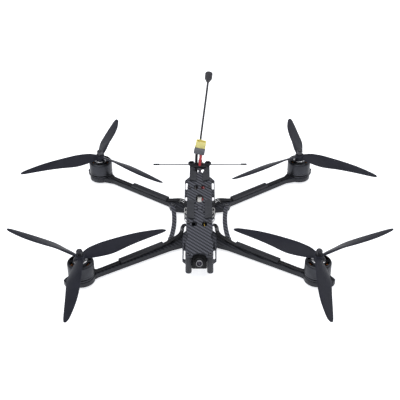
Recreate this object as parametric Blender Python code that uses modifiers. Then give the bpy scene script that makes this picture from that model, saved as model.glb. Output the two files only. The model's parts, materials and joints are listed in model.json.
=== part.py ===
"""Ten-inch racing quadcopter, modelled as the separate pieces it bolts together from.

Metres, +Z up. The nose points along -Y, so the drone's own left is +X. The origin is on the
floor, under the middle of the bottom plate.
"""

import math

import bmesh
import bpy
import numpy as np
from mathutils import Matrix, Vector

MM = 0.001
INCH = 0.0254

# Driving dimensions ---------------------------------------------------------------------------
MOTOR_SPAN_X = 315 * MM  # between the left and the right motor shafts
MOTOR_SPAN_Y = 260 * MM  # between the front and the rear motor shafts
PROP_RADIUS = 5 * INCH
PROP_PITCH = 5 * INCH
GAP = 0.3 * MM  # between pieces that touch

BOTTOM_THICKNESS = 3.0 * MM
ARM_THICKNESS = 7.0 * MM
MID_THICKNESS = 2.5 * MM
TOP_THICKNESS = 2.5 * MM
STANDOFF_LENGTH = 24.0 * MM
STANDOFF_RADIUS = 2.6 * MM
SCREW_HOLE_RADIUS = 1.7 * MM

BOTTOM_TOP = BOTTOM_THICKNESS
ARM_LOW = BOTTOM_TOP + GAP
ARM_TOP = ARM_LOW + ARM_THICKNESS
MID_LOW = ARM_TOP + GAP
MID_TOP = MID_LOW + MID_THICKNESS
BAY_LOW = MID_TOP + GAP
BAY_TOP = BAY_LOW + STANDOFF_LENGTH
TOP_LOW = BAY_TOP + GAP
TOP_TOP = TOP_LOW + TOP_THICKNESS

FRONT_SCREW = (15.0 * MM, -123.6 * MM)
MIDDLE_SCREW = (15.0 * MM, -49.6 * MM)
REAR_MIDDLE_SCREW = (15.0 * MM, 41.2 * MM)
REAR_SCREW = (12.8 * MM, 106.2 * MM)
BRACE_FRONT_SCREW = (40.5 * MM, -51.3 * MM)
BRACE_REAR_SCREW = (40.0 * MM, 34.8 * MM)

STACK_Y = -14.0 * MM  # middle of the electronics stack
STACK_HALF_PITCH = 15.25 * MM  # from the stack's middle to its screws, along X and along Y
CONTROLLER_HEIGHT = 19.2 * MM  # middle of the speed controller

STATOR_BORE = 2.9 * MM
BELL_RADIUS = 17.9 * MM
BELL_LOW = 15.0 * MM
BELL_TOP = 35.2 * MM
BELL_WALL = 1.5 * MM
SEAT_RADIUS = 9.6 * MM  # the raised ring that the propeller sits on
SEAT_HEIGHT = 1.2 * MM
ROOF_WINDOWS = 6
SHAFT_RADIUS = 2.5 * MM
SHAFT_LOW = 12.4 * MM
SHAFT_TOP = 53.0 * MM
PROP_PLANE = 40.0 * MM
HUB_RADIUS = 6.8 * MM
HUB_LOW = 36.8 * MM
HUB_TOP = 44.4 * MM
BLADES = 3
NUT_CORNER_RADIUS = 4.62 * MM
NUT_HEIGHT = 7.8 * MM

CAMERA_PIVOT = Vector((0.0, -117.0 * MM, 24.3 * MM))
CAMERA_TILT = math.radians(25)

PLUG_BASE = Vector((-1.0 * MM, 112.0 * MM, 57.5 * MM))
PLUG_LEAN = math.radians(10)
PLUG_YAW = math.radians(-6)
LEAD_DIAMETER = 4.4 * MM

# Each corner of the airframe: its name, its side along X, its end along Y, the turning sense
# of its propeller seen from above (+1 is anticlockwise) and the angle of its first blade.
CORNERS = (
    ("front_left", 1, -1, -1, 30.0),
    ("front_right", -1, -1, 1, 149.0),
    ("rear_left", 1, 1, 1, -28.5),
    ("rear_right", -1, 1, -1, -156.8),
)


# Helpers --------------------------------------------------------------------------------------
def clear_scene():
    for obj in list(bpy.data.objects):
        bpy.data.objects.remove(obj, do_unlink=True)


def new_collection(name):
    collection = bpy.data.collections.new(name)
    bpy.context.scene.collection.children.link(collection)
    return collection


def finish(name, colour, roughness, metallic=0.0):
    material = bpy.data.materials.new(name)
    material.use_nodes = True
    shader = material.node_tree.nodes["Principled BSDF"]
    shader.inputs["Base Color"].default_value = (*colour, 1.0)
    shader.inputs["Roughness"].default_value = roughness
    shader.inputs["Metallic"].default_value = metallic
    return material


def new_object(name, data, material):
    """An object of the drone's collection, with its own copy of a finish."""
    obj = bpy.data.objects.new(name, data)
    own = material.copy()
    own.name = name
    data.materials.append(own)
    PARTS.objects.link(obj)
    return obj


def smooth(mesh, angle=35):
    mesh.shade_smooth()
    mesh.set_sharp_from_angle(angle=math.radians(angle))


def realised(obj):
    """The object with its curve or its modifiers turned into one welded mesh."""
    bpy.context.view_layer.update()
    graph = bpy.context.evaluated_depsgraph_get()
    mesh = bpy.data.meshes.new_from_object(obj.evaluated_get(graph))
    bm = bmesh.new()
    bm.from_mesh(mesh)
    bmesh.ops.remove_doubles(bm, verts=bm.verts, dist=1e-6)
    bmesh.ops.dissolve_degenerate(bm, edges=bm.edges, dist=1e-6)
    bm.to_mesh(mesh)
    bm.free()
    smooth(mesh)
    name = obj.name
    place = obj.matrix_world.copy()
    collection = obj.users_collection[0]
    bpy.data.objects.remove(obj, do_unlink=True)
    made = bpy.data.objects.new(name, mesh)
    made.matrix_world = place
    collection.objects.link(made)
    return made


def rounded(corners, segments=3):
    """A closed outline through corners (x, y) or (x, y, radius), in millimetres, as metres."""
    outline = []
    count = len(corners)
    for i, corner in enumerate(corners):
        here = Vector(corner[:2])
        radius = corner[2] if len(corner) > 2 else 0.0
        if not radius:
            outline.append(here * MM)
            continue
        back = (Vector(corners[i - 1][:2]) - here).normalized()
        ahead = (Vector(corners[(i + 1) % count][:2]) - here).normalized()
        half = 0.5 * back.angle(ahead)
        reach = radius / math.tan(half)
        centre = here + (back + ahead).normalized() * radius / math.sin(half)
        first = here + back * reach - centre
        turn = math.pi - 2 * half
        if first.x * (here - centre).y - first.y * (here - centre).x < 0:
            turn = -turn
        for step in range(segments + 1):
            angle = turn * step / segments
            spoke = Vector(
                (
                    first.x * math.cos(angle) - first.y * math.sin(angle),
                    first.x * math.sin(angle) + first.y * math.cos(angle),
                )
            )
            outline.append((centre + spoke) * MM)
    return outline


def mirrored(half):
    """A whole outline from its +X half, whose ends lie on X = 0 or face each other."""
    other = [(-corner[0], *corner[1:]) for corner in reversed(half) if corner[0] > 1e-6]
    return half + other


def circle(x, y, radius, sides=10):
    angles = [2 * math.pi * i / sides for i in range(sides)]
    return [Vector((x + radius * math.cos(a), y + radius * math.sin(a))) for a in angles]


def both_sides(x, y, radius, sides=10):
    return [circle(x, y, radius, sides), circle(-x, y, radius, sides)]


def window(x, y, width, length, radius=1.4):
    """A rounded rectangular hole in millimetres."""
    a, b = width / 2, length / 2
    corners = [(x - a, y - b), (x + a, y - b), (x + a, y + b), (x - a, y + b)]
    return rounded([(*corner, radius) for corner in corners], segments=1)


def plate(name, loops, low, thickness, material):
    """A flat piece cut to an outline, the first loop, with the other loops as its holes."""
    curve = bpy.data.curves.new(name, "CURVE")
    curve.dimensions = "2D"
    curve.fill_mode = "BOTH"
    curve.extrude = thickness / 2
    for loop in loops:
        spline = curve.splines.new("POLY")
        spline.points.add(len(loop) - 1)
        for point, place in zip(spline.points, loop):
            point.co = (place[0], place[1], 0.0, 1.0)
        spline.use_cyclic_u = True
    obj = new_object(name, curve, material)
    obj.location.z = low + thickness / 2
    return realised(obj)


def turned(name, profile, material, sides=20, ring=False):
    """A lathe shape about Z. The profile, (radius, height) in millimetres, runs top to bottom."""
    points = [(radius * MM, 0.0, height * MM) for radius, height in profile]
    edges = [(i, i + 1) for i in range(len(points) - 1)]
    if ring:
        edges.append((len(points) - 1, 0))
    mesh = bpy.data.meshes.new(name)
    mesh.from_pydata(points, edges, [])
    obj = new_object(name, mesh, material)
    screw = obj.modifiers.new("Turn", "SCREW")
    screw.steps = sides
    screw.render_steps = sides
    screw.use_merge_vertices = True
    screw.merge_threshold = 0.00001
    screw.use_smooth_shade = True
    return realised(obj)


def tube(name, points, radius, material, resolution=2):
    """A round wire or rod through points in metres."""
    curve = bpy.data.curves.new(name, "CURVE")
    curve.dimensions = "3D"
    curve.bevel_depth = radius
    curve.bevel_resolution = resolution
    curve.use_fill_caps = True
    spline = curve.splines.new("POLY")
    spline.points.add(len(points) - 1)
    for point, place in zip(spline.points, points):
        point.co = (*place, 1.0)
    return realised(new_object(name, curve, material))


def box(name, size, centre, material, bevel=0.0):
    mesh = bpy.data.meshes.new(name)
    bm = bmesh.new()
    bmesh.ops.create_cube(bm, size=1.0)
    bmesh.ops.scale(bm, verts=bm.verts, vec=Vector(size) * MM)
    bm.to_mesh(mesh)
    bm.free()
    obj = new_object(name, mesh, material)
    obj.location = Vector(centre) * MM
    if bevel:
        edge = obj.modifiers.new("Edges", "BEVEL")
        edge.width = bevel * MM
        edge.segments = 1
    return obj


def as_cutter(obj):
    """Moves an object among the helpers, out of the drone."""
    for collection in list(obj.users_collection):
        collection.objects.unlink(obj)
    CUTTERS.objects.link(obj)
    obj.hide_render = True
    obj.display_type = "WIRE"
    return obj


def combine(obj, other, operation):
    boolean = obj.modifiers.new(operation.title(), "BOOLEAN")
    boolean.operation = operation
    boolean.solver = "EXACT"
    boolean.object = as_cutter(other)


def smooth_route(points, spacing):
    """Points about a spacing apart on a smooth curve through the route's own points."""
    ends = [2 * points[0] - points[1], *points, 2 * points[-1] - points[-2]]
    route = []
    for a, b, c, d in zip(ends, ends[1:], ends[2:], ends[3:]):
        count = max(1, round((c - b).length / spacing))
        for step in range(count):
            t = step / count
            route.append(
                0.5 * (2 * b + (c - a) * t + (2 * a - 5 * b + 4 * c - d) * t**2
                       + (3 * b - a - 3 * c + d) * t**3)
            )
    route.append(points[-1])
    return route


def mm_points(*points):
    return [Vector(point) * MM for point in points]


def motor_place(side, end):
    return Vector((side * MOTOR_SPAN_X / 2, end * MOTOR_SPAN_Y / 2, 0.0))


# Plates ---------------------------------------------------------------------------------------
def stack_holes():
    """The square of four holes for the electronics stack."""
    front = both_sides(STACK_HALF_PITCH, STACK_Y - STACK_HALF_PITCH, SCREW_HOLE_RADIUS, 6)
    rear = both_sides(STACK_HALF_PITCH, STACK_Y + STACK_HALF_PITCH, SCREW_HOLE_RADIUS, 6)
    return front + rear


def frame_screw_holes(*screws):
    """A hole on each side of the body for each screw."""
    holes = []
    for x, y in screws:
        holes += both_sides(x, y, SCREW_HOLE_RADIUS, 6)
    return holes


def build_bottom_plate():
    half = [
        (0, -66), (17, -66, 4), (24.5, -60, 4), (24.5, -36, 4), (18.6, -28, 4),
        (18.6, 20, 4), (24, 28, 4), (24, 45, 4), (17, 52, 4), (0, 52),
    ]
    lightening = [window(0, 20, 14, 18, 4)]
    holes = stack_holes() + frame_screw_holes(MIDDLE_SCREW, REAR_MIDDLE_SCREW)
    loops = [rounded(mirrored(half))] + lightening + holes
    plate("bottom_plate", loops, 0.0, BOTTOM_THICKNESS, CARBON)


def build_mid_plate():
    half = [
        (0, -98), (10.4, -98, 3), (10.4, -127.4, 3.8), (18.9, -127.4, 3.8), (18.9, -107, 1),
        (23.4, -101.7, 2), (24.0, -38, 3), (18.7, -31, 4), (18.7, -3, 3), (22.6, 2.5, 2),
        (23.3, 102.9, 2), (16.6, 113.5, 2), (0, 113.5),
    ]
    slots = []
    for side in (1, -1):
        slots += [
            window(side * 20.1, -80, 3.4, 38),
            window(side * 20.3, 15, 3.0, 16),
            window(side * 20.4, 52, 3.2, 14),
            window(side * 20.4, 88, 3.2, 22),
        ]
    slots += [window(0, -76, 16, 18, 4), window(0, 22, 12, 10, 3), window(0, 84, 14, 34, 5)]
    holes = stack_holes()
    holes += frame_screw_holes(MIDDLE_SCREW, REAR_MIDDLE_SCREW, REAR_SCREW, FRONT_SCREW)
    loops = [rounded(mirrored(half))] + slots + holes
    plate("mid_plate", loops, MID_LOW, MID_THICKNESS, CARBON)


def camera_arch():
    """The half of the round notch over the camera, from the middle outwards, in millimetres."""
    centre_y, radius = -131.5, 11.2
    middle = (0.0, centre_y + radius)
    angles = [math.radians(a) for a in (75, 60, 45, 36.5)]
    return [middle] + [(radius * math.cos(a), centre_y + radius * math.sin(a)) for a in angles]


def flower_hole():
    """The lobed oblong opening in the middle of the top plate."""
    steps, lobes, depth = 18, 6, 0.07
    middle = Vector((0.0, 11.5))
    half_width, half_length = 6.0, 10.4
    points = []
    for i in range(steps):
        a = 2 * math.pi * i / steps
        lobe = 1 + depth * math.cos(lobes * a)
        spoke = Vector((half_width * math.cos(a), half_length * math.sin(a)))
        points.append((middle + lobe * spoke) * MM)
    return points


def build_top_plate():
    half = camera_arch() + [
        (9.0, -127.6, 1.2), (18.7, -127.6, 3.8), (18.4, -97, 6), (16.1, -87, 8),
        (16.1, -76, 8), (18.6, -65, 6), (18.2, -20), (17.9, 60, 3), (15.4, 69, 3),
        (15.4, 112.5, 4), (8.2, 112.5, 1.5), (8.2, 103.0, 3), (0, 102.2),
    ]
    windows = [flower_hole()]
    for side in (1, -1):
        windows += [
            window(side * 7.2, -53, 7.2, 12, 2),
            window(side * 5.2, 41.7, 6.6, 11, 2),
            window(side * 5.2, 89.2, 6.4, 13.0, 2.2),
        ]
    tie_holes = []
    for x, y in ((6.4, -1.0), (6.2, -25.3), (3.8, -10.6), (3.3, -17.0)):
        tie_holes += both_sides(x * MM, y * MM, 1.5 * MM, 6)
    holes = frame_screw_holes(FRONT_SCREW, MIDDLE_SCREW, REAR_MIDDLE_SCREW, REAR_SCREW)
    loops = [rounded(mirrored(half))] + windows + tie_holes + holes
    plate("top_plate", loops, TOP_LOW, TOP_THICKNESS, CARBON)


def build_battery_pads():
    """Four anti-slip pads on the top plate, each cut off at a slant at its front end."""
    thickness = 2.0 * MM
    low = TOP_TOP + GAP
    mid = [(7.6, -43, 0.8), (17.6, -39.5, 1), (17.6, 4, 1.5), (7.6, 4, 1.5)]
    rear = [
        (4.9, 56, 0.8), (15.0, 60.5, 1), (14.8, 96, 1.5), (9.4, 96, 1), (9.4, 83.5, 1), (4.9, 83.5, 1),
    ]
    for side, name in ((1, "left"), (-1, "right")):
        for where, corners in (("middle", mid), ("rear", rear)):
            outline = rounded([(side * x, y, r) for x, y, r in corners], segments=2)
            plate(f"battery_pad_{where}_{name}", [outline], low, thickness, GRIP_RUBBER)


# Arms -----------------------------------------------------------------------------------------
def motor_pad(side, end, slope):
    """The round pad under a motor, with a nose at its outer end, open towards the body."""
    centre = motor_place(side, end) / MM
    opening = 32
    steps = 36
    nose_reach, nose_half_angle = 7.4, 17.0
    points = []
    for i in range(steps + 1):
        a = math.radians(opening - 180 + (360 - 2 * opening) * i / steps)
        radius = 17.8 + nose_reach / (1 + (math.degrees(a) / nose_half_angle) ** 6)
        x = radius * math.cos(a + slope)
        y = radius * math.sin(a + slope)
        points.append((centre.x + side * x, centre.y + end * y))
    return points


def build_arms():
    """Front arms taper from a wide root; rear arms keep one width and flare only at the root."""
    front_slope = math.radians(31.5)
    rear_slope = math.radians(35.8)
    # Each root runs from the pad along one edge to the body, and back along the other edge.
    front_root = [
        (135.5, -126.2, 8), (104, -106.6, 10), (40, -67.3, 8), (24, -60.5, 8), (2.4, -58.5),
        (2.4, -32.5), (22.5, -32.5, 3), (37, -45.5, 3), (44.4, -47.5, 3), (47, -54.5, 3),
        (104, -94.2, 10), (137, -117.3, 8),
    ]
    rear_root = [
        (134.0, 118.8, 8), (44.4, 54.3, 6), (36, 48.6, 8), (24, 44.6, 6), (2.4, 44.6),
        (2.4, 27.5), (25, 27.5, 4), (38.5, 29.6, 3), (44.6, 34, 4), (46.8, 43.9, 3),
        (136.5, 109.0, 8),
    ]
    for name, side, end, _, _ in CORNERS:
        if end < 0:
            root, slope, screws = front_root, front_slope, (MIDDLE_SCREW, BRACE_FRONT_SCREW)
        else:
            root, slope, screws = rear_root, rear_slope, (REAR_MIDDLE_SCREW, BRACE_REAR_SCREW)
        outline = [(side * corner[0], *corner[1:]) for corner in root]
        pad = motor_pad(side, end, slope)
        holes = [circle(side * x, y, SCREW_HOLE_RADIUS, 6) for x, y in screws]
        plate(f"arm_{name}", [rounded(pad + outline)] + holes, ARM_LOW, ARM_THICKNESS, CARBON)


def build_side_braces():
    """A curved strip on each side that ties the front arm to the rear arm."""
    half_width, inward_bow, steps = 3.3, 3.2, 8
    outer, inner = [], []
    for i in range(steps + 1):
        t = i / steps
        y = -47 + 77.5 * t
        x = 40.4 - 0.4 * t - inward_bow * 4 * t * (1 - t)
        outer.append((x + half_width, y))
        inner.append((x - half_width, y))
    rear_end = [(44.4, 33.0), (44.4, 39.2, 3.5), (35.6, 39.2, 3.5), (35.6, 33.0)]
    front_end = [(36.0, -49.5), (36.0, -55.6, 3.5), (44.9, -55.6, 3.5), (44.9, -49.5)]
    corners = outer + rear_end + inner[::-1] + front_end
    for name, side in (("left", 1), ("right", -1)):
        outline = rounded([(side * corner[0], *corner[1:]) for corner in corners])
        screws = (BRACE_FRONT_SCREW, BRACE_REAR_SCREW)
        holes = [circle(side * x, y, SCREW_HOLE_RADIUS, 6) for x, y in screws]
        plate(f"side_brace_{name}", [outline] + holes, MID_LOW, MID_THICKNESS, CARBON)


# Motor leads and their covers -----------------------------------------------------------------
FRONT_COVER = (Vector((109.0, -102.3)), Vector((50.5, -62.4)))
REAR_COVER = (Vector((104.5, 91.8)), Vector((48.5, 51.4)))
COVER_HEIGHT = 4.2 * MM
COVER_WIDTH = 8.8 * MM
COVER_ROOF = 1.3 * MM
CHANNEL_WIDTH = 6.7 * MM
CHANNEL_DEPTH = 5.0 * MM


def build_wire_covers():
    """A printed channel over the motor leads on each arm, open underneath and at both ends."""
    for name, side, end, _, _ in CORNERS:
        outer, inner = (point * MM for point in (FRONT_COVER if end < 0 else REAR_COVER))
        run = inner - outer
        slope = math.atan2(run.y, side * run.x)
        middle = (outer + inner) / 2
        size = Vector((run.length, COVER_WIDTH, COVER_HEIGHT)) / MM
        cover = box(f"wire_cover_{name}", size, (0, 0, 0), PRINTED, bevel=0.7)
        size = Vector((1.1 * run.length, CHANNEL_WIDTH, CHANNEL_DEPTH)) / MM
        channel = box(f"channel_{name}", size, (0, 0, 0), PRINTED)
        place = Matrix.Translation((side * middle.x, middle.y, ARM_TOP + GAP + COVER_HEIGHT / 2))
        place = place @ Matrix.Rotation(slope, 4, "Z")
        under_roof = (COVER_HEIGHT - CHANNEL_DEPTH) / 2 - COVER_ROOF
        cover.matrix_world = place
        channel.matrix_world = place @ Matrix.Translation((0, 0, under_roof))
        combine(cover, channel, "DIFFERENCE")


def lead_route(end):
    """Route of the left-hand motor leads, in millimetres, from the motor to the speed controller."""
    on_arm = ARM_TOP / MM + 1.3
    landing = CONTROLLER_HEIGHT / MM
    if end < 0:
        return [
            (141.6, -123.2, on_arm), (132, -117.9, on_arm), (109, -102.3, on_arm),
            (50.5, -62.4, on_arm), (44, -59.8, 13.8), (37, -54.2, 15.2), (31.4, -48.6, 15.2),
            (27.4, -43.2, 15.4), (25.0, -36.8, 16.6), (24.4, -31.0, 18.6), (22.6, -27.0, landing),
            (19.4, -25.6, landing),
        ]
    return [
        (141.8, 118.7, on_arm), (132, 111.6, on_arm), (104.5, 91.8, on_arm),
        (48.5, 51.4, on_arm), (42, 48.6, 13.2), (34, 46.2, 15.4), (27.5, 42.5, 17.2),
        (22.6, 35, 18.6), (19, 24, landing), (16, 14, landing), (14.6, 7.0, landing),
    ]


def build_motor_leads():
    """Each motor's three leads, side by side: a flat ribbon with round edges."""
    on_arm_points = 4
    for name, side, end, _, _ in CORNERS:
        route = [(side * x, y, z) for x, y, z in lead_route(end)]
        straight = mm_points(*route[: on_arm_points - 1])
        bent = smooth_route(mm_points(*route[on_arm_points - 1 :]), 7 * MM)
        curve = bpy.data.curves.new(f"motor_leads_{name}", "CURVE")
        curve.dimensions = "3D"
        curve.twist_mode = "Z_UP"
        curve.extrude = 1.95 * MM
        curve.bevel_depth = 0.95 * MM
        curve.bevel_resolution = 1
        curve.use_fill_caps = True
        points = straight + bent
        spline = curve.splines.new("POLY")
        spline.points.add(len(points) - 1)
        for point, place in zip(spline.points, points):
            point.co = (*place, 1.0)
            point.tilt = math.pi / 2
        realised(new_object(curve.name, curve, SILICONE))


# Motors and propellers ------------------------------------------------------------------------
def build_stator(name, place):
    """Flange, bearing tube and wound core of a motor, with the shaft's bore through it."""
    bore = STATOR_BORE / MM
    foot = (ARM_TOP + GAP) / MM
    profile = [
        (bore, 29.6), (7.5, 28.4), (15.4, 28.4), (15.4, 18.6), (8.5, 17.8), (8.5, 14.2),
        (17.0, 13.2), (17.0, foot), (bore, foot),
    ]
    stator = turned(f"motor_stator_{name}", profile, STATOR, sides=16, ring=True)
    stator.location = place


def build_bell(name, place):
    """The turning bell: skirt, spoked roof, propeller seat and shaft in one piece."""
    roof = BELL_TOP - 2 * BELL_WALL
    seat = BELL_TOP + SEAT_HEIGHT
    outline = [
        (0, SHAFT_TOP), (SHAFT_RADIUS, SHAFT_TOP), (SHAFT_RADIUS, seat), (SEAT_RADIUS, seat),
        (SEAT_RADIUS, BELL_TOP), (BELL_RADIUS - 2.3 * MM, BELL_TOP - 0.6 * MM),
        (BELL_RADIUS, BELL_TOP - 2.6 * MM), (BELL_RADIUS, BELL_LOW),
        (BELL_RADIUS - BELL_WALL, BELL_LOW), (BELL_RADIUS - BELL_WALL, roof),
        (SHAFT_RADIUS, roof), (SHAFT_RADIUS, SHAFT_LOW), (0, SHAFT_LOW),
    ]
    profile = [(radius / MM, height / MM) for radius, height in outline]
    bell = turned(f"motor_bell_{name}", profile, MOTOR_BLACK, sides=20)
    bell.location = place
    cutter = bell_windows(f"bell_windows_{name}")
    cutter.location = place + Vector((0, 0, BELL_TOP))
    combine(bell, cutter, "DIFFERENCE")


def bell_windows(name):
    """The wedges that open the bell's roof between its spokes."""
    outer, inner, spread = 15.0 * MM, 10.8 * MM, math.radians(20)
    curve = bpy.data.curves.new(name, "CURVE")
    curve.dimensions = "2D"
    curve.fill_mode = "BOTH"
    curve.extrude = 6 * MM
    for i in range(ROOF_WINDOWS):
        middle = 2 * math.pi * (i + 0.5) / ROOF_WINDOWS
        angles = [middle - spread, middle, middle + spread]
        edge = [(outer, a) for a in angles] + [(inner, a) for a in reversed(angles)]
        spline = curve.splines.new("POLY")
        spline.points.add(len(edge) - 1)
        for point, (radius, a) in zip(spline.points, edge):
            point.co = (radius * math.cos(a), radius * math.sin(a), 0.0, 1.0)
        spline.use_cyclic_u = True
    return realised(new_object(name, curve, MOTOR_BLACK))


# Shares of the radius at which the blade is drawn; then the distances of its leading edge ahead
# of the spoke and of its trailing edge behind it, and its rise over the propeller's plane, in
# millimetres, against the share of the radius.
BLADE_STATIONS = (0.045, 0.11, 0.18, 0.27, 0.36, 0.5, 0.68, 0.84, 0.95, 1.0)
LEADING_CURVE = ((0.045, 0.11, 0.18, 0.27, 0.36, 0.5, 0.6, 0.68, 0.76, 0.84, 0.9, 0.95, 0.985, 1.0),
                 (5.6, 8.4, 9.2, 9.7, 10.1, 10.5, 10.4, 10.0, 9.1, 7.5, 6.1, 4.9, 3.4, 1.4))
TRAILING_CURVE = ((0.045, 0.11, 0.18, 0.27, 0.34, 0.42, 0.5, 0.66, 0.8, 0.9, 0.97, 1.0),
                  (4.6, 7.4, 9.4, 11.2, 12.0, 11.1, 9.4, 7.0, 5.3, 4.1, 3.1, 1.6))
RISE_CURVE = ((0.045, 0.14, 0.27, 0.45, 0.66, 0.8, 1.0), (1.2, 2.4, 3.2, 3.0, 2.2, 1.5, 0.4))
BLADE_THICKNESS = ((0.0, 0.3, 1.0), (3.6, 2.6, 1.1))
STEEPEST_BLADE = math.radians(30)
# A section as shares of the chord, from the trailing edge, and of the thickness.
BLADE_SECTION = ((0.0, 0.0), (0.3, 0.4), (0.75, 0.6), (1.0, 0.0), (0.75, -0.4), (0.3, -0.3))


def blade_section(station, sense):
    """The points round the blade at a share of the radius, leading edge up and ahead."""
    radius = station * PROP_RADIUS
    back = -np.interp(station, *TRAILING_CURVE) * MM
    chord = np.interp(station, *LEADING_CURVE) * MM - back
    rise = np.interp(station, *RISE_CURVE) * MM
    thickness = np.interp(station, *BLADE_THICKNESS) * MM
    angle = min(math.atan(PROP_PITCH / (2 * math.pi * radius)), STEEPEST_BLADE)
    section = []
    for share, height in BLADE_SECTION:
        along = back + share * chord
        up = height * thickness
        y = along * math.cos(angle) - up * math.sin(angle)
        z = rise + along * math.sin(angle) + up * math.cos(angle)
        section.append((radius, sense * y, z))
    return section


def build_blade(name, sense):
    """One blade, lofted through its sections along +X."""
    sections = [blade_section(station, sense) for station in BLADE_STATIONS]
    count = len(BLADE_SECTION)
    points = [point for section in sections for point in section]
    faces = [tuple(range(count)), tuple(range(len(points) - count, len(points)))]
    for start in range(0, len(points) - count, count):
        for i in range(count):
            a, b = start + i, start + (i + 1) % count
            faces.append((a, b, b + count, a + count))
    mesh = bpy.data.meshes.new(name)
    mesh.from_pydata(points, [], faces)
    bm = bmesh.new()
    bm.from_mesh(mesh)
    bmesh.ops.recalc_face_normals(bm, faces=bm.faces)
    bm.to_mesh(mesh)
    bm.free()
    return new_object(name, mesh, PROP_PLASTIC)


def build_propeller(name, place, sense, first_angle):
    """The blades joined to a bored hub."""
    bore = (SHAFT_RADIUS + GAP) / MM
    radius, low, top = HUB_RADIUS / MM, HUB_LOW / MM, HUB_TOP / MM
    bevel = 1.2
    profile = [(bore, top), (radius - bevel, top), (radius, top - bevel), (radius, low), (bore, low)]
    hub = turned(f"propeller_{name}", profile, PROP_PLASTIC, ring=True)
    hub.location = place
    for k in range(BLADES):
        blade = build_blade(f"blade_{name}_{k}", sense)
        turn = Matrix.Rotation(math.radians(first_angle + 360 / BLADES * k), 4, "Z")
        blade.matrix_world = Matrix.Translation(place + Vector((0, 0, PROP_PLANE))) @ turn
        combine(hub, blade, "UNION")


def build_nut(name, place):
    """A hexagon nut with its bore."""
    loops = [circle(0, 0, NUT_CORNER_RADIUS, 6), circle(0, 0, SHAFT_RADIUS + GAP, 12)]
    nut = plate(f"prop_nut_{name}", loops, HUB_TOP + GAP, NUT_HEIGHT, NUT_STEEL)
    nut.location += place


def build_motors():
    for name, side, end, sense, first_angle in CORNERS:
        place = motor_place(side, end)
        build_stator(name, place)
        build_bell(name, place)
        build_propeller(name, place, sense, first_angle)
        build_nut(name, place)


# Between the plates ---------------------------------------------------------------------------
def build_standoffs():
    low, top, radius = BAY_LOW / MM, BAY_TOP / MM, STANDOFF_RADIUS / MM
    profile = [(0, top), (radius, top), (radius, low), (0, low)]
    places = (("middle", MIDDLE_SCREW), ("rear_middle", REAR_MIDDLE_SCREW), ("rear", REAR_SCREW))
    for where, (x, y) in places:
        for name, side in (("left", 1), ("right", -1)):
            post = turned(f"standoff_{where}_{name}", profile, ANODISED, sides=12)
            post.location = (side * x, y, 0)


def build_electronics():
    """The two stacked boards, then the video transmitter, the receiver and a lying capacitor."""
    stack_y = STACK_Y / MM
    box("speed_controller", (36.4, 39.4, 4.2), (0, stack_y, CONTROLLER_HEIGHT / MM), BOARD, bevel=0.8)
    box("flight_controller", (36, 36, 3.4), (0, stack_y, 27.8), BOARD, bevel=0.6)
    box("video_transmitter", (30, 34, 9), (0, 66, 18.2), HEAT_SINK, bevel=1.0)
    box("receiver", (20, 13, 4), (0, 93.5, 15.8), BOARD, bevel=0.5)
    radius, half, bevel = 6.25, 12.0, 0.6
    profile = [
        (0, half), (radius - bevel, half), (radius, half - bevel),
        (radius, bevel - half), (radius - bevel, -half), (0, -half),
    ]
    capacitor = turned("capacitor", profile, SLEEVE, sides=16)
    above_plate = BAY_LOW / MM + radius + 0.1
    place = Matrix.Translation(mm_points((0, 32, above_plate))[0])
    capacitor.matrix_world = place @ Matrix.Rotation(math.pi / 2, 4, "Y")


def build_camera():
    """The camera hangs between two printed posts on a cross pivot, nose up by its rest tilt."""
    for name, side in (("left", 1), ("right", -1)):
        corners = [(10.5, -127.6, 3.9), (18.6, -127.6, 3.9), (18.6, -112, 2), (10.5, -112, 2)]
        outline = rounded([(side * x, y, r) for x, y, r in corners], segments=4)
        plate(f"camera_mount_{name}", [outline], BAY_LOW, STANDOFF_LENGTH, PRINTED)
    housing = box("camera_housing", (20.4, 13.4, 19.4), (0, 0, 0), CAMERA_PLASTIC, bevel=1.6)
    snout_profile = [(0, 13.6), (6.2, 13.6), (6.8, 12.8), (6.8, 5), (0, 5)]
    snout = turned("snout", snout_profile, CAMERA_PLASTIC, sides=16)
    lens_profile = [(0, 16.4), (2.7, 16.4), (3.2, 17.4), (4.2, 17.4), (4.5, 16.9), (4.5, 13.9), (0, 13.9)]
    lens = turned("camera_lens", lens_profile, LENS_METAL, sides=16)
    tilt = Matrix.Translation(CAMERA_PIVOT) @ Matrix.Rotation(-CAMERA_TILT, 4, "X")
    forward = tilt @ Matrix.Rotation(math.pi / 2, 4, "X")
    housing.matrix_world = tilt
    snout.matrix_world = forward
    lens.matrix_world = forward
    combine(housing, snout, "UNION")


# Antennas -------------------------------------------------------------------------------------
MOUNT_WALL = (112.8, 116.8)  # front and back faces of the antenna mount's upright wall
SADDLE_THICKNESS = 1.8
EAR_RADIUS = 5.1
EAR_RISE = 3.4  # over the saddle's underside


def between(name, low, high):
    """A printed block from its lowest corner to its highest, in millimetres."""
    size = [b - a for a, b in zip(low, high)]
    centre = [(a + b) / 2 for a, b in zip(low, high)]
    return box(name, size, centre, PRINTED)


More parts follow.
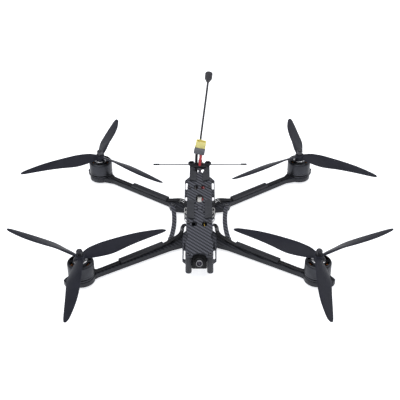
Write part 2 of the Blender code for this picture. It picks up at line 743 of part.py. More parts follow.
def build_antenna_mount():
    """A printed mount on the tail: a saddle with two ears, and behind them a wall with a shelf."""
    low = (TOP_TOP + GAP) / MM
    top = low + EAR_RISE
    front, back = MOUNT_WALL
    half = [
        (0, 96.0), (8.8, 96.0, 1), (12.0, 98.4, 2), (15.4, 99.6, 2), (15.4, 114.4, 0.8),
        (9.6, 114.4, 0.8), (9.6, 110.0), (8.8, 105.6, 1), (0, 98.6),
    ]
    mount = plate("antenna_mount", [rounded(mirrored(half))], low * MM, SADDLE_THICKNESS * MM, PRINTED)
    ear_profile = [(0, top), (EAR_RADIUS, top), (EAR_RADIUS, low + 0.5), (0, low + 0.5)]
    recess_profile = [(0, top + 2), (2.9, top + 2), (2.9, low - 2), (0, low - 2)]
    for name, side in (("left", 1), ("right", -1)):
        place = Vector((side * REAR_SCREW[0], REAR_SCREW[1], 0))
        for piece, profile, operation in (
            ("ear", ear_profile, "UNION"), ("recess", recess_profile, "DIFFERENCE")
        ):
            round_piece = turned(f"{piece}_{name}", profile, PRINTED, sides=18)
            round_piece.location = place
            combine(mount, round_piece, operation)
        x_low, x_high = sorted((side * 9.9, side * 15.1))
        riser = between(f"riser_{name}", (x_low, front + 0.2, 35), (x_high, 114.1, low + 1.5))
        combine(mount, riser, "UNION")
    combine(mount, between("mount_wall", (-15.4, front, 20), (15.4, back, 37)), "UNION")
    combine(mount, between("mount_shelf", (-4, front + 1, 28.4), (6.0, 128.5, 31.4)), "UNION")
    combine(mount, between("opening", (-4.6, front - 1, 18), (6.6, back + 1, 28)), "DIFFERENCE")


def build_t_antenna():
    """The control link's aerial: a thin rod across the tail with a thick cap at each end."""
    thin, thick, end, cap = 0.95, 1.45, 73.5, 9.0
    profile = [
        (0, end), (thick - 0.3, end), (thick, end - 0.4), (thick, end - cap), (thin, end - cap - 0.6),
        (thin, 4.6), (1.5, 4.0), (1.5, -4.0), (thin, -4.6),
        (thin, cap + 0.6 - end), (thick, cap - end), (thick, 0.4 - end), (thick - 0.3, -end), (0, -end),
    ]
    aerial = turned("t_antenna", profile, DARK_PLASTIC, sides=8)
    place = Matrix.Translation(mm_points((0.5, 118.6, 33.4))[0])
    aerial.matrix_world = place @ Matrix.Rotation(math.pi / 2, 4, "Y")


WHIP_ROUTE = (
    (0.85, 123.6, 38.0), (0.85, 123.6, 50), (0.95, 123.6, 62), (1.65, 123.6, 77), (4.25, 123.6, 100),
    (7.45, 123.6, 127), (10.45, 123.6, 152), (12.8, 123.6, 173.4),
)


def build_whip_antenna():
    """The video aerial: a threaded foot, a slim flexible stem and a capped head."""
    foot_profile = [(0, 39.5), (2.3, 39.5), (3.3, 37.8), (3.3, 31.7), (0, 31.7)]
    foot = turned("whip_foot", foot_profile, DARK_PLASTIC, sides=10)
    route = mm_points(*WHIP_ROUTE)
    foot.location = (route[0].x, route[0].y, 0)
    stem = tube("whip_antenna", smooth_route(route, 20 * MM), 1.6 * MM, DARK_PLASTIC)
    head_profile = [(0, 16.4), (4.6, 16.0), (5.6, 14.6), (5.6, 6.2), (2.0, 0), (0, 0)]
    head = turned("whip_head", head_profile, DARK_PLASTIC, sides=14)
    along = (route[-1] - route[-2]).normalized()
    over_stem = 1.2 * MM
    lean = math.atan2(along.x, along.z)
    place = Matrix.Translation(route[-1] - over_stem * along)
    head.matrix_world = place @ Matrix.Rotation(lean, 4, "Y")
    combine(stem, foot, "UNION")
    combine(stem, head, "UNION")


# Battery leads and plug -----------------------------------------------------------------------
PLUG_CAP_LENGTH = 11.0
PLUG_LENGTH = 22.0
MOUTH_DEPTH = 8.2

LEAD_ROUTES = {
    "power_lead_red": (
        (5.5, 6.5, 22.6), (5.6, 12, 24.6), (5.7, 20, 28.8), (5.6, 29, 31.0), (5.4, 40, 31.2),
        (5.2, 54, 26.8), (4.6, 68, 25.4), (3.2, 81, 25.2), (1.6, 92, 25.2), (0.6, 99, 26.6),
        (0.2, 104.4, 32.4), (0.1, 107.4, 38.6), (0.7, 109.6, 45.2), (1.7, 111.2, 51.4),
        (2.5, 112.0, 56.6),
    ),
    "power_lead_black": (
        (-5.5, 6.5, 22.6), (-5.6, 12, 24.6), (-5.7, 20, 28.8), (-5.6, 29, 31.0), (-5.5, 40, 31.2),
        (-5.4, 54, 26.8), (-5.4, 68, 25.4), (-5.4, 81, 25.2), (-5.4, 92, 25.2), (-5.4, 99, 26.6),
        (-5.4, 104.4, 32.4), (-5.3, 107.4, 38.6), (-5.2, 109.8, 45.6), (-5.0, 111.6, 52.0),
        (-4.65, 112.4, 57.7),
    ),
}


def build_power_leads():
    """The two battery leads, from the speed controller along the bay and up behind the top plate."""
    for name, finish_of in (("power_lead_red", RED_SILICONE), ("power_lead_black", SILICONE)):
        route = smooth_route(mm_points(*LEAD_ROUTES[name]), 2.4 * LEAD_DIAMETER)
        tube(name, route, LEAD_DIAMETER / 2, finish_of, 3)


def plug_frame():
    """From the plug's own axes, with Z out of its mouth, to the world."""
    return (
        Matrix.Translation(PLUG_BASE)
        @ Matrix.Rotation(PLUG_LEAN, 4, "Y")
        @ Matrix.Rotation(PLUG_YAW, 4, "Z")
    )


def keyed(width, depth, chamfer):
    """The plug's outline: a rectangle with its two rear corners cut off."""
    a, b = width / 2, depth / 2
    corners = [
        (-a, -b, 0.7), (a, -b, 0.7), (a, b - chamfer, 0.3), (a - chamfer, b, 0.3),
        (chamfer - a, b, 0.3), (-a, b - chamfer, 0.3),
    ]
    return rounded(corners, segments=2)


def along_plug(low, high):
    """The place of a piece that reaches from one distance along the plug to another."""
    return plug_frame() @ Matrix.Translation((0, 0, (low + high) / 2 * MM))


def build_plug():
    """A two-pole battery plug: a keyed shroud with an open mouth, and a cap over its solder end."""
    low = PLUG_CAP_LENGTH + GAP / MM
    beyond = PLUG_LENGTH + 4
    body = plate("plug_body", [keyed(15.8, 8.1, 1.8)], 0.0, (PLUG_LENGTH - low) * MM, PLUG_YELLOW)
    body.matrix_world = along_plug(low, PLUG_LENGTH)
    floor = PLUG_LENGTH - MOUTH_DEPTH
    mouth = plate("plug_mouth", [keyed(13.2, 5.8, 1.4)], 0.0, (beyond - floor) * MM, PLUG_YELLOW)
    mouth.matrix_world = along_plug(floor, beyond)
    combine(body, mouth, "DIFFERENCE")
    cap = plate("plug_cap", [keyed(16.6, 8.8, 1.8)], 0.0, PLUG_CAP_LENGTH * MM, PLUG_GREY)
    cap.matrix_world = along_plug(0, PLUG_CAP_LENGTH)


# Build ----------------------------------------------------------------------------------------
clear_scene()
PARTS = new_collection("racing_quadcopter")
CUTTERS = new_collection("cutters")

CARBON = finish("carbon", (0.045, 0.047, 0.052), 0.42)
GRIP_RUBBER = finish("grip_rubber", (0.03, 0.03, 0.033), 0.8)
PRINTED = finish("printed_polymer", (0.022, 0.022, 0.024), 0.62)
SILICONE = finish("black_silicone", (0.012, 0.012, 0.013), 0.45)
RED_SILICONE = finish("red_silicone", (0.55, 0.02, 0.02), 0.45)
STATOR = finish("stator", (0.05, 0.05, 0.055), 0.4, 0.8)
MOTOR_BLACK = finish("motor_black", (0.025, 0.025, 0.03), 0.32, 0.9)
PROP_PLASTIC = finish("propeller", (0.03, 0.03, 0.035), 0.38)
NUT_STEEL = finish("nut", (0.06, 0.06, 0.065), 0.35, 0.9)
ANODISED = finish("standoff", (0.03, 0.03, 0.035), 0.35, 0.9)
BOARD = finish("circuit_board", (0.015, 0.017, 0.02), 0.5)
HEAT_SINK = finish("heat_sink", (0.05, 0.05, 0.055), 0.4, 0.9)
SLEEVE = finish("capacitor_sleeve", (0.03, 0.03, 0.035), 0.4)
CAMERA_PLASTIC = finish("camera", (0.018, 0.018, 0.02), 0.5)
LENS_METAL = finish("lens", (0.5, 0.5, 0.52), 0.3, 0.9)
DARK_PLASTIC = finish("antenna", (0.02, 0.02, 0.024), 0.5)
PLUG_YELLOW = finish("plug_yellow", (0.85, 0.62, 0.10), 0.45)
PLUG_GREY = finish("plug_grey", (0.16, 0.17, 0.19), 0.5)

build_bottom_plate()
build_mid_plate()
build_top_plate()
build_battery_pads()
build_arms()
build_side_braces()
build_wire_covers()
build_motor_leads()
build_motors()
build_standoffs()
build_electronics()
build_camera()
build_antenna_mount()
build_t_antenna()
build_whip_antenna()
build_power_leads()
build_plug()
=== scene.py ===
"""The looks of a ten-inch racing quadcopter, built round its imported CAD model.

Metres, +Z up, the nose along -Y. Lengths in the classes below are in millimetres unless a
comment says otherwise, and `mm` turns them into metres.
"""

import json
import logging
import math
from collections.abc import Iterable, Sequence
from dataclasses import dataclass, field
from enum import Enum
from typing import Any

import bmesh
import bpy
from mathutils import Matrix, Vector

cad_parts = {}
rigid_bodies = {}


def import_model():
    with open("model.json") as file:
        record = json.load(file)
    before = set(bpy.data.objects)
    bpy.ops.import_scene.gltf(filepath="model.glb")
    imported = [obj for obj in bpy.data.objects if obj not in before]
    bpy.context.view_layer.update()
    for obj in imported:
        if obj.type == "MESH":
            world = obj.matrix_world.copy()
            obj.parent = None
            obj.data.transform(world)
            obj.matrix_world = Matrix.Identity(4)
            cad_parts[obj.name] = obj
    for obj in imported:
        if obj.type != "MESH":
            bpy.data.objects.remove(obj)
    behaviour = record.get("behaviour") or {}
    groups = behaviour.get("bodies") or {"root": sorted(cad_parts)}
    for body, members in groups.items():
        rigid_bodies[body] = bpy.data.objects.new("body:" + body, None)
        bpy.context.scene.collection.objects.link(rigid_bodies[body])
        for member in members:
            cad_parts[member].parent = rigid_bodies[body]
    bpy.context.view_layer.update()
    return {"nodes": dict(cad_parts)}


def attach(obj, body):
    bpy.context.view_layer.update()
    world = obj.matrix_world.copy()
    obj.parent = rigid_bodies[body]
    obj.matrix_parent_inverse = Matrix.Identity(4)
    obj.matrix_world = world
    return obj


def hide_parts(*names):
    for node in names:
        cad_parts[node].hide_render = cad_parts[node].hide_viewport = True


log = logging.getLogger("quadcopter")

for old in list(bpy.data.objects):
    bpy.data.objects.remove(old, do_unlink=True)

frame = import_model()

MM = 0.001
AIRFRAME = "airframe"
SHARP = math.radians(38)  # edges past this angle are bevelled and shaded sharp
WELD = 2e-6  # metres
SLIVER = 1e-6  # metres
AT_ORIGIN = Matrix.Identity(4)
Piece = bpy.types.Object
Colour = tuple[float, float, float]
Point = tuple[float, float, float]
Flat = tuple[float, float]


# Shader maths ---------------------------------------------------------------------------------
class Value:
    """A shader socket that takes part in Python expressions."""

    def __init__(self, graph: "Graph", socket: bpy.types.NodeSocket) -> None:
        """Wraps one output socket of a graph."""
        self.graph = graph
        self.socket = socket

    def _with(self, operation: str, other: Any, flipped: bool = False) -> "Value":
        """Adds one Math or Vector Math node.

        Args:
            operation: The node's operation.
            other: The second operand, a Value or a number.
            flipped: Whether the other operand comes first.

        Returns:
            The node's result.
        """
        vector = self.socket.type in ("VECTOR", "RGBA")
        if vector and isinstance(other, (int, float)):
            other = (other, other, other)
        first, second = (other, self) if flipped else (self, other)
        kind = "ShaderNodeVectorMath" if vector else "ShaderNodeMath"
        return self.graph.add(kind, {"operation": operation}, {0: first, 1: second})

    def __add__(self, other: Any) -> "Value":
        """self + other."""
        return self._with("ADD", other)

    def __radd__(self, other: Any) -> "Value":
        """other + self."""
        return self._with("ADD", other, True)

    def __sub__(self, other: Any) -> "Value":
        """self - other."""
        return self._with("SUBTRACT", other)

    def __rsub__(self, other: Any) -> "Value":
        """other - self."""
        return self._with("SUBTRACT", other, True)

    def __mul__(self, other: Any) -> "Value":
        """self * other."""
        return self._with("MULTIPLY", other)

    def __rmul__(self, other: Any) -> "Value":
        """other * self."""
        return self._with("MULTIPLY", other, True)

    def __truediv__(self, other: Any) -> "Value":
        """self / other."""
        return self._with("DIVIDE", other)

    def __mod__(self, other: Any) -> "Value":
        """self % other, never below zero."""
        return self._with("FLOORED_MODULO", other)

    def __lt__(self, other: Any) -> "Value":
        """1 where self is below other, else 0."""
        return self._with("LESS_THAN", other)

    def __gt__(self, other: Any) -> "Value":
        """1 where self is above other, else 0."""
        return self._with("GREATER_THAN", other)

    def call(self, operation: str) -> "Value":
        """The result of a Math node with one operand, such as FLOOR or SINE."""
        return self.graph.add("ShaderNodeMath", {"operation": operation}, {0: self})

    def split(self) -> tuple["Value", "Value", "Value"]:
        """The three components of a vector."""
        node = self.graph.add("ShaderNodeSeparateXYZ", {}, {0: self}).socket.node
        return tuple(Value(self.graph, out) for out in node.outputs)


Operand = Value | float | Sequence[float]


class Graph:
    """One material's node tree."""

    def __init__(self, name: str) -> None:
        """Starts a material that holds only its Principled shader and output."""
        self.material = bpy.data.materials.new(name)
        self.material.use_nodes = True
        self.nodes = self.material.node_tree.nodes
        self.links = self.material.node_tree.links
        self.shader = self.nodes["Principled BSDF"]

    def add(
        self,
        kind: str,
        settings: dict[str, Any],
        inputs: dict[int | str, Operand],
        output: int | str = 0,
    ) -> Value:
        """Adds any node.

        Args:
            kind: The node's type.
            settings: Its properties, set first. `stops` fills a colour ramp.
            inputs: Values or links for its sockets, by name or place.
            output: Which of its outputs to return.

        Returns:
            That output.
        """
        node = self.nodes.new(kind)
        for key, value in settings.items():
            if key == "stops":
                self._fill(node.color_ramp, value)
            else:
                setattr(node, key, value)
        for key, value in inputs.items():
            self.feed(node.inputs[key], value)
        return Value(self, node.outputs[output])

    @staticmethod
    def _fill(ramp: bpy.types.ColorRamp, stops: Sequence[Flat]) -> None:
        """Gives a ramp its grey stops, each a place and a brightness."""
        while len(ramp.elements) < len(stops):
            ramp.elements.new(0.5)
        for element, (place, grey) in zip(ramp.elements, stops):
            element.position = place
            element.color = (grey, grey, grey, 1.0)

    def feed(self, socket: bpy.types.NodeSocket, value: Operand) -> None:
        """Links a Value to a socket, or sets the socket to a plain value."""
        if isinstance(value, Value):
            self.links.new(value.socket, socket)
        elif socket.type == "RGBA" and not isinstance(value, (int, float)):
            socket.default_value = (*value, 1.0)
        else:
            socket.default_value = value

    def place(self) -> Value:
        """The point on the piece, in metres."""
        return self.add("ShaderNodeTexCoord", {}, {}, "Object")

    def noise(self, scale: float, detail: float = 3.0, at: Value | None = None) -> Value:
        """Noise from 0 to 1, with about `scale` features a metre."""
        inputs = {"Vector": at or self.place(), "Scale": scale, "Detail": detail}
        return self.add("ShaderNodeTexNoise", {}, inputs, 0)

    def ramp(self, value: Value, *stops: Flat) -> Value:
        """A value passed through grey stops."""
        return self.add("ShaderNodeValToRGB", {"stops": stops}, {0: value})

    def upright(self) -> Value:
        """How far the surface faces up or down, from 0 to 1."""
        normal = self.add("ShaderNodeNewGeometry", {}, {}, "Normal")
        return normal.split()[2].call("ABSOLUTE")

    def edges(self) -> Value:
        """1 on a worn outer edge, 0 elsewhere."""
        return self.ramp(self.add("ShaderNodeNewGeometry", {}, {}, "Pointiness"), (0.52, 0), (0.60, 1))

    def blend(self, share: Operand, first: Operand, second: Operand) -> Value:
        """A mix of two colours."""
        inputs = {0: share, 6: first, 7: second}
        return self.add("ShaderNodeMix", {"data_type": "RGBA"}, inputs, 2)


# Finishes -------------------------------------------------------------------------------------
BUMP_STRENGTH = 0.6
COAT_ROUGHNESS = 0.12


@dataclass(frozen=True)
class Finish:
    """A moulded or coated surface: fine grain, broad tone and lighter worn edges."""

    name: str
    colour: Colour
    second: Colour
    roughness: float
    spread: float = 0.10
    metallic: float = 0.0
    coat: float = 0.0
    grain: float = 2600.0  # features a metre
    relief: float = 0.00006  # bump depth in metres
    wear: float = 0.35
    specular: float = 0.3

    def pattern(self, graph: Graph) -> tuple[Value, Value]:
        """The share of the second colour and the height over the surface.

        Args:
            graph: The material's node tree.

        Returns:
            The colour share and the bump height, both from 0 to 1.
        """
        fine = graph.noise(self.grain)
        broad = graph.noise(70.0, 2.0)
        return graph.ramp(broad * 0.6 + fine * 0.4, (0.35, 0), (0.7, 1)), fine

    def material(self) -> bpy.types.Material:
        """The finish as a material, made once."""
        name = f"{self.name}_finish"
        if name in bpy.data.materials:
            return bpy.data.materials[name]
        graph = Graph(name)
        share, height = self.pattern(graph)
        tone = graph.blend(share, self.colour, self.second)
        worn = tuple(min(1.0, 1.9 * part + 0.03) for part in self.second)
        shade = graph.blend(graph.edges() * self.wear, tone, worn)
        rough = self.roughness + (share - 0.5) * self.spread
        relief = {"Strength": BUMP_STRENGTH, "Distance": self.relief, "Height": height}
        bump = graph.add("ShaderNodeBump", {}, relief)
        sockets = graph.shader.inputs
        graph.feed(sockets["Base Color"], shade)
        graph.feed(sockets["Roughness"], rough)
        graph.feed(sockets["Normal"], bump)
        graph.feed(sockets["Metallic"], self.metallic)
        graph.feed(sockets["Coat Weight"], self.coat)
        graph.feed(sockets["Coat Roughness"], COAT_ROUGHNESS)
        graph.feed(sockets["Specular IOR Level"], self.specular)
        return graph.material


@dataclass(frozen=True)
class CarbonTwill(Finish):
    """Woven carbon laminate: two-over-two twill on the faces with a painted sheen on the warp tows, thin
    plies on the cut edges.
    """

    tow: float = 0.0019  # metres
    ply: float = 0.00028  # metres

    def pattern(self, graph: Graph) -> tuple[Value, Value]:
        """The warp tows' share, which is a painted sheen lightest on their crowns, and the crowns of the
        tows.
        """
        x, y, z = graph.place().split()
        across = x / self.tow + 400.0
        along = y / self.tow + 400.0
        warp = (across.call("FLOOR") + along.call("FLOOR")) % 4.0 < 1.5
        crown_across = ((across % 1.0) * math.pi).call("SINE")
        crown_along = ((along % 1.0) * math.pi).call("SINE")
        crown = warp * crown_across + (1.0 - warp) * crown_along
        fibres = graph.noise(3200.0, 1.0)
        # Painted highlight: the real twill shows through a painted sheen. The warp tows and each tow's crown
        # are painted lighter to stand in for the light the fibres reflect.
        painted_sheen = warp * (0.55 + 0.45 * crown_across) + (1.0 - warp) * crown_along * 0.16
        face = painted_sheen * (0.7 + 0.6 * fibres)
        plies = ((z / self.ply + 200.0) % 1.0 < 0.3) * 0.35 + fibres * 0.2
        flat = graph.upright() > 0.6
        share = flat * face + (1.0 - flat) * plies
        return share, flat * crown + (1.0 - flat) * plies


@dataclass(frozen=True)
class PrintedPolymer(Finish):
    """Fused-filament plastic: level layer lines all the way up."""

    layer: float = 0.0003  # metres

    def pattern(self, graph: Graph) -> tuple[Value, Value]:
        """Broad tone with the layers, and the rounded layers as height."""
        z = graph.place().split()[2]
        layers = ((z / self.layer % 1.0) * math.pi).call("SINE")
        share = graph.ramp(graph.noise(120.0), (0.35, 0), (0.7, 1)) * 0.6 + layers * 0.3
        return share, layers * 0.8 + graph.noise(self.grain) * 0.2


@dataclass(frozen=True)
class TurnedMetal(Finish):
    """Anodised or bright metal with fine lines left by the tool."""

    def pattern(self, graph: Graph) -> tuple[Value, Value]:
        """Fine level lines, drawn out along X and Y."""
        stretch = {"Vector": graph.place(), "Scale": (1.0, 1.0, 14.0)}
        drawn = graph.add("ShaderNodeMapping", {}, stretch)
        lines = graph.noise(700.0, 2.0, drawn)
        broad = graph.noise(90.0, 2.0)
        return graph.ramp(broad * 0.5 + lines * 0.5, (0.35, 0), (0.68, 1)), lines


@dataclass(frozen=True)
class GripSheet(Finish):
    """Anti-slip sheet: a fine field of raised dots."""

    pitch: float = 0.0013  # metres

    def pattern(self, graph: Graph) -> tuple[Value, Value]:
        """Dots over a dusty tone."""
        x, y, _ = graph.place().split()
        dot_x = ((x / self.pitch % 1.0) * math.pi).call("SINE")
        dot_y = ((y / self.pitch % 1.0) * math.pi).call("SINE")
        dots = dot_x * dot_y
        dust = graph.ramp(graph.noise(220.0), (0.4, 0), (0.75, 1))
        return dust * 0.7 + dots * 0.3, dots


@dataclass(frozen=True)
class SolderMask(Finish):
    """Circuit board: copper tracks that show through a dark mask."""

    def pattern(self, graph: Graph) -> tuple[Value, Value]:
        """Tracks as thin cells, a little raised."""
        cells = graph.add(
            "ShaderNodeTexVoronoi",
            {"feature": "DISTANCE_TO_EDGE", "distance": "EUCLIDEAN"},
            {"Vector": graph.place(), "Scale": 420.0, "Randomness": 0.35},
            0,
        )
        tracks = cells < 0.08
        return tracks * 0.8 + graph.noise(900.0) * 0.2, tracks


@dataclass(frozen=True)
class Backdrop(Finish):
    """A matt pale sweep under the drone."""

    def pattern(self, graph: Graph) -> tuple[Value, Value]:
        """A very soft tone."""
        tone = graph.noise(3.0, 2.0)
        return tone, graph.noise(900.0)


class Finishes:
    """Every finish on the drone."""

    # The carbon finishes' second colours are the painted sheen of the warp tows, a painted highlight.
    CARBON = CarbonTwill("carbon", (0.010, 0.011, 0.014), (0.115, 0.118, 0.142), 0.52, wear=0.1, specular=0.2)
    ARM_CARBON = CarbonTwill(
        "arm_carbon", (0.010, 0.011, 0.014), (0.052, 0.054, 0.066), 0.48, wear=0.15, specular=0.2
    )
    GRIP = GripSheet("grip_sheet", (0.022, 0.023, 0.027), (0.050, 0.052, 0.060), 0.72, relief=0.00015)
    PRINTED = PrintedPolymer("printed_polymer", (0.009, 0.010, 0.012), (0.026, 0.027, 0.033), 0.58)
    BLACK_SILICONE = Finish("black_silicone", (0.010, 0.010, 0.012), (0.026, 0.026, 0.030), 0.42, wear=0.1)
    RED_SILICONE = Finish("red_silicone", (0.72, 0.060, 0.075), (0.82, 0.105, 0.120), 0.42, wear=0.1)
    YELLOW_SILICONE = Finish("yellow_silicone", (0.70, 0.42, 0.03), (0.80, 0.52, 0.06), 0.45, wear=0.1)
    WHITE_SILICONE = Finish("white_silicone", (0.55, 0.55, 0.54), (0.68, 0.67, 0.65), 0.45, wear=0.1)
    PROPELLER = Finish(
        "propeller", (0.012, 0.013, 0.020), (0.020, 0.021, 0.031), 0.46, grain=1500.0, relief=0.00003,
        specular=0.15
    )
    BELL = TurnedMetal("bell_anodised", (0.022, 0.023, 0.027), (0.044, 0.046, 0.054), 0.34, metallic=0.7)
    ANODISED = TurnedMetal("anodised", (0.022, 0.022, 0.026), (0.045, 0.045, 0.052), 0.36, metallic=0.8)
    SILVER = TurnedMetal("bright_metal", (0.62, 0.62, 0.63), (0.78, 0.78, 0.79), 0.24, metallic=1.0)
    LENS_RING = TurnedMetal("lens_ring", (0.20, 0.20, 0.21), (0.30, 0.30, 0.31), 0.3, metallic=1.0)
    SCREW = TurnedMetal("screw_steel", (0.06, 0.06, 0.065), (0.12, 0.12, 0.13), 0.32, metallic=1.0)
    LAMINATION = TurnedMetal("lamination", (0.05, 0.05, 0.055), (0.11, 0.11, 0.12), 0.45, metallic=0.8)
    MAGNET = TurnedMetal("magnet", (0.42, 0.42, 0.43), (0.55, 0.55, 0.56), 0.3, metallic=1.0)
    COPPER = TurnedMetal("enamelled_copper", (0.42, 0.15, 0.05), (0.62, 0.27, 0.10), 0.32, metallic=0.9)
    GOLD = TurnedMetal("gold_plate", (0.72, 0.49, 0.16), (0.86, 0.63, 0.25), 0.26, metallic=1.0)
    BOARD = SolderMask("solder_mask", (0.010, 0.012, 0.016), (0.035, 0.045, 0.060), 0.38, coat=0.3)
    CHIP = Finish("chip_epoxy", (0.018, 0.018, 0.020), (0.035, 0.035, 0.038), 0.5, grain=5000.0)
    SOLDER = TurnedMetal("solder", (0.55, 0.55, 0.56), (0.74, 0.74, 0.75), 0.3, metallic=1.0)
    CONNECTOR = Finish("connector_nylon", (0.62, 0.60, 0.55), (0.72, 0.70, 0.66), 0.5)
    HEAT_SINK = TurnedMetal("heat_sink", (0.05, 0.052, 0.058), (0.10, 0.10, 0.11), 0.38, metallic=0.8)
    SLEEVE = Finish("shrink_sleeve", (0.016, 0.018, 0.030), (0.034, 0.036, 0.050), 0.32, coat=0.4)
    CAMERA_SHELL = Finish(
        "camera_shell", (0.004, 0.004, 0.005), (0.011, 0.011, 0.013), 0.5, wear=0.15, specular=0.2
    )
    LENS_GLASS = Finish(
        "lens_glass", (0.006, 0.006, 0.012), (0.020, 0.012, 0.040), 0.06, spread=0.02, coat=1.0, wear=0.0,
        relief=0.000001,
    )
    AERIAL = Finish("aerial_plastic", (0.018, 0.018, 0.021), (0.040, 0.040, 0.046), 0.46)
    PALE_ROD = Finish("pale_rod", (0.10, 0.10, 0.11), (0.17, 0.17, 0.18), 0.48)
    PLUG_YELLOW = Finish(
        "plug_yellow", (0.90, 0.80, 0.25), (0.94, 0.86, 0.34), 0.40, grain=1800.0, wear=0.15
    )
    PLUG_GREY = Finish("plug_grey", (0.100, 0.106, 0.122), (0.155, 0.160, 0.175), 0.5, grain=1800.0)
    RUBBER = Finish("soft_rubber", (0.018, 0.018, 0.018), (0.038, 0.038, 0.038), 0.75)
    FLOOR = Backdrop("backdrop", (0.86, 0.87, 0.88), (0.90, 0.90, 0.91), 0.62, wear=0.0)


# Shapes ---------------------------------------------------------------------------------------
def mm(*values: float) -> Vector:
    """A point or size given in millimetres, in metres."""
    return Vector(values) * MM


def at(x: float, y: float, z: float) -> Matrix:
    """A move to a point given in millimetres."""
    return Matrix.Translation(mm(x, y, z))


def turn(degrees: float, axis: str) -> Matrix:
    """A turn about one of the axes."""
    return Matrix.Rotation(math.radians(degrees), 4, axis)


def new_piece(name: str, data: bpy.types.ID) -> Piece:
    """An object in the scene, at the origin."""
    obj = bpy.data.objects.new(name, data)
    bpy.context.scene.collection.objects.link(obj)
    return obj


def mesh_from(
    name: str,
    points: Iterable[Sequence[float]],
    faces: Iterable[Sequence[int]],
    edges: Iterable[Sequence[int]] = (),
) -> Piece:
    """A mesh object from points in metres."""
    mesh = bpy.data.meshes.new(name)
    mesh.from_pydata([tuple(p) for p in points], list(edges), list(faces))
    return new_piece(name, mesh)


def smoothed(obj: Piece) -> Piece:
    """Smooth shading, but for the sharp edges."""
    obj.data.shade_smooth()
    obj.data.set_sharp_from_angle(angle=SHARP)
    return obj


def settled(obj: Piece, place: Matrix = AT_ORIGIN) -> Piece:
    """Applies a piece's stack and its place, welds it and turns its faces outwards.

    Args:
        obj: A mesh or curve object at the origin.
        place: Where it goes.

    Returns:
        A mesh object of the same name, at the origin, with its place in its mesh.
    """
    bpy.context.view_layer.update()
    graph = bpy.context.evaluated_depsgraph_get()
    mesh = bpy.data.meshes.new_from_object(obj.evaluated_get(graph))
    mesh.materials.clear()
    mesh.transform(place)
    bm = bmesh.new()
    bm.from_mesh(mesh)
    bmesh.ops.remove_doubles(bm, verts=bm.verts, dist=WELD)
    bmesh.ops.dissolve_degenerate(bm, edges=bm.edges, dist=SLIVER)
    bmesh.ops.recalc_face_normals(bm, faces=bm.faces)
    bm.to_mesh(mesh)
    bm.free()
    name = obj.name
    bpy.data.objects.remove(obj, do_unlink=True)
    return smoothed(new_piece(name, mesh))


def poured(name: str, bm: bmesh.types.BMesh) -> Piece:
    """A working mesh, used up, as a smooth piece."""
    mesh = bpy.data.meshes.new(name)
    bm.to_mesh(mesh)
    bm.free()
    return smoothed(new_piece(name, mesh))


def joined(name: str, parts: Sequence[Piece]) -> Piece:
    """Several settled meshes as one piece."""
    bm = bmesh.new()
    for part in parts:
        bm.from_mesh(part.data)
        bpy.data.objects.remove(part, do_unlink=True)
    return poured(name, bm)


def copies(obj: Piece, places: Iterable[Matrix]) -> Piece:
    """A settled mesh repeated at each place, as one piece of the same name."""
    bm = bmesh.new()
    for place in places:
        copy = obj.data.copy()
        copy.transform(place)
        bm.from_mesh(copy)
        bpy.data.meshes.remove(copy)
    bmesh.ops.recalc_face_normals(bm, faces=bm.faces)
    name = obj.name
    bpy.data.objects.remove(obj, do_unlink=True)
    return poured(name, bm)


def bevelled(obj: Piece, width: float, segments: int = 2) -> Piece:
    """Adds a live Bevel, in millimetres, to a piece's sharp edges."""
    bevel = obj.modifiers.new("Edges", "BEVEL")
    bevel.width = width * MM
    bevel.segments = segments
    bevel.limit_method = "ANGLE"
    bevel.angle_limit = SHARP
    return obj


def mirrored_over_x(obj: Piece) -> Piece:
    """Adds a live Mirror, so that a left piece also stands on the right."""
    mirror = obj.modifiers.new("Other side", "MIRROR")
    mirror.use_mirror_merge = False
    return obj


def turned(
    name: str,
    profile: Sequence[Flat],
    place: Matrix = AT_ORIGIN,
    steps: int = 48,
    ring: bool = False,
) -> Piece:
    """A lathe shape about Z, through a live Screw that is then applied.

    Args:
        name: The piece's name.
        profile: Radius and height in millimetres, from top to bottom.
        place: Where it goes.
        steps: Faces round the axis.
        ring: Whether the profile closes on itself, clear of the axis.

    Returns:
        The piece.
    """
    count = len(profile)
    edges = [(i, i + 1) for i in range(count - 1)] + ([(count - 1, 0)] if ring else [])
    obj = mesh_from(name, [mm(r, 0, z) for r, z in profile], [], edges)
    screw = obj.modifiers.new("Turn", "SCREW")
    screw.steps = screw.render_steps = steps
    screw.use_merge_vertices = True
    screw.merge_threshold = 1e-5
    return settled(obj, place)


def block(name: str, size: Sequence[float], place: Matrix = AT_ORIGIN, bevel: float = 0.3) -> Piece:
    """A block with rounded edges, in millimetres, settled in its place."""
    mesh = bpy.data.meshes.new(name)
    bm = bmesh.new()
    bmesh.ops.create_cube(bm, size=1.0)
    bmesh.ops.scale(bm, verts=bm.verts, vec=mm(*size))
    bm.to_mesh(mesh)
    bm.free()
    return settled(bevelled(new_piece(name, mesh), bevel), place)


Block = tuple[Sequence[float], Sequence[float], float]  # size, place and bevel


def blocks(name: str, rows: Sequence[Block]) -> Piece:
    """Several rounded blocks as one piece."""
    made = [block(f"{name}_{i}", size, at(*place), bevel) for i, (size, place, bevel) in enumerate(rows)]
    return joined(name, made)


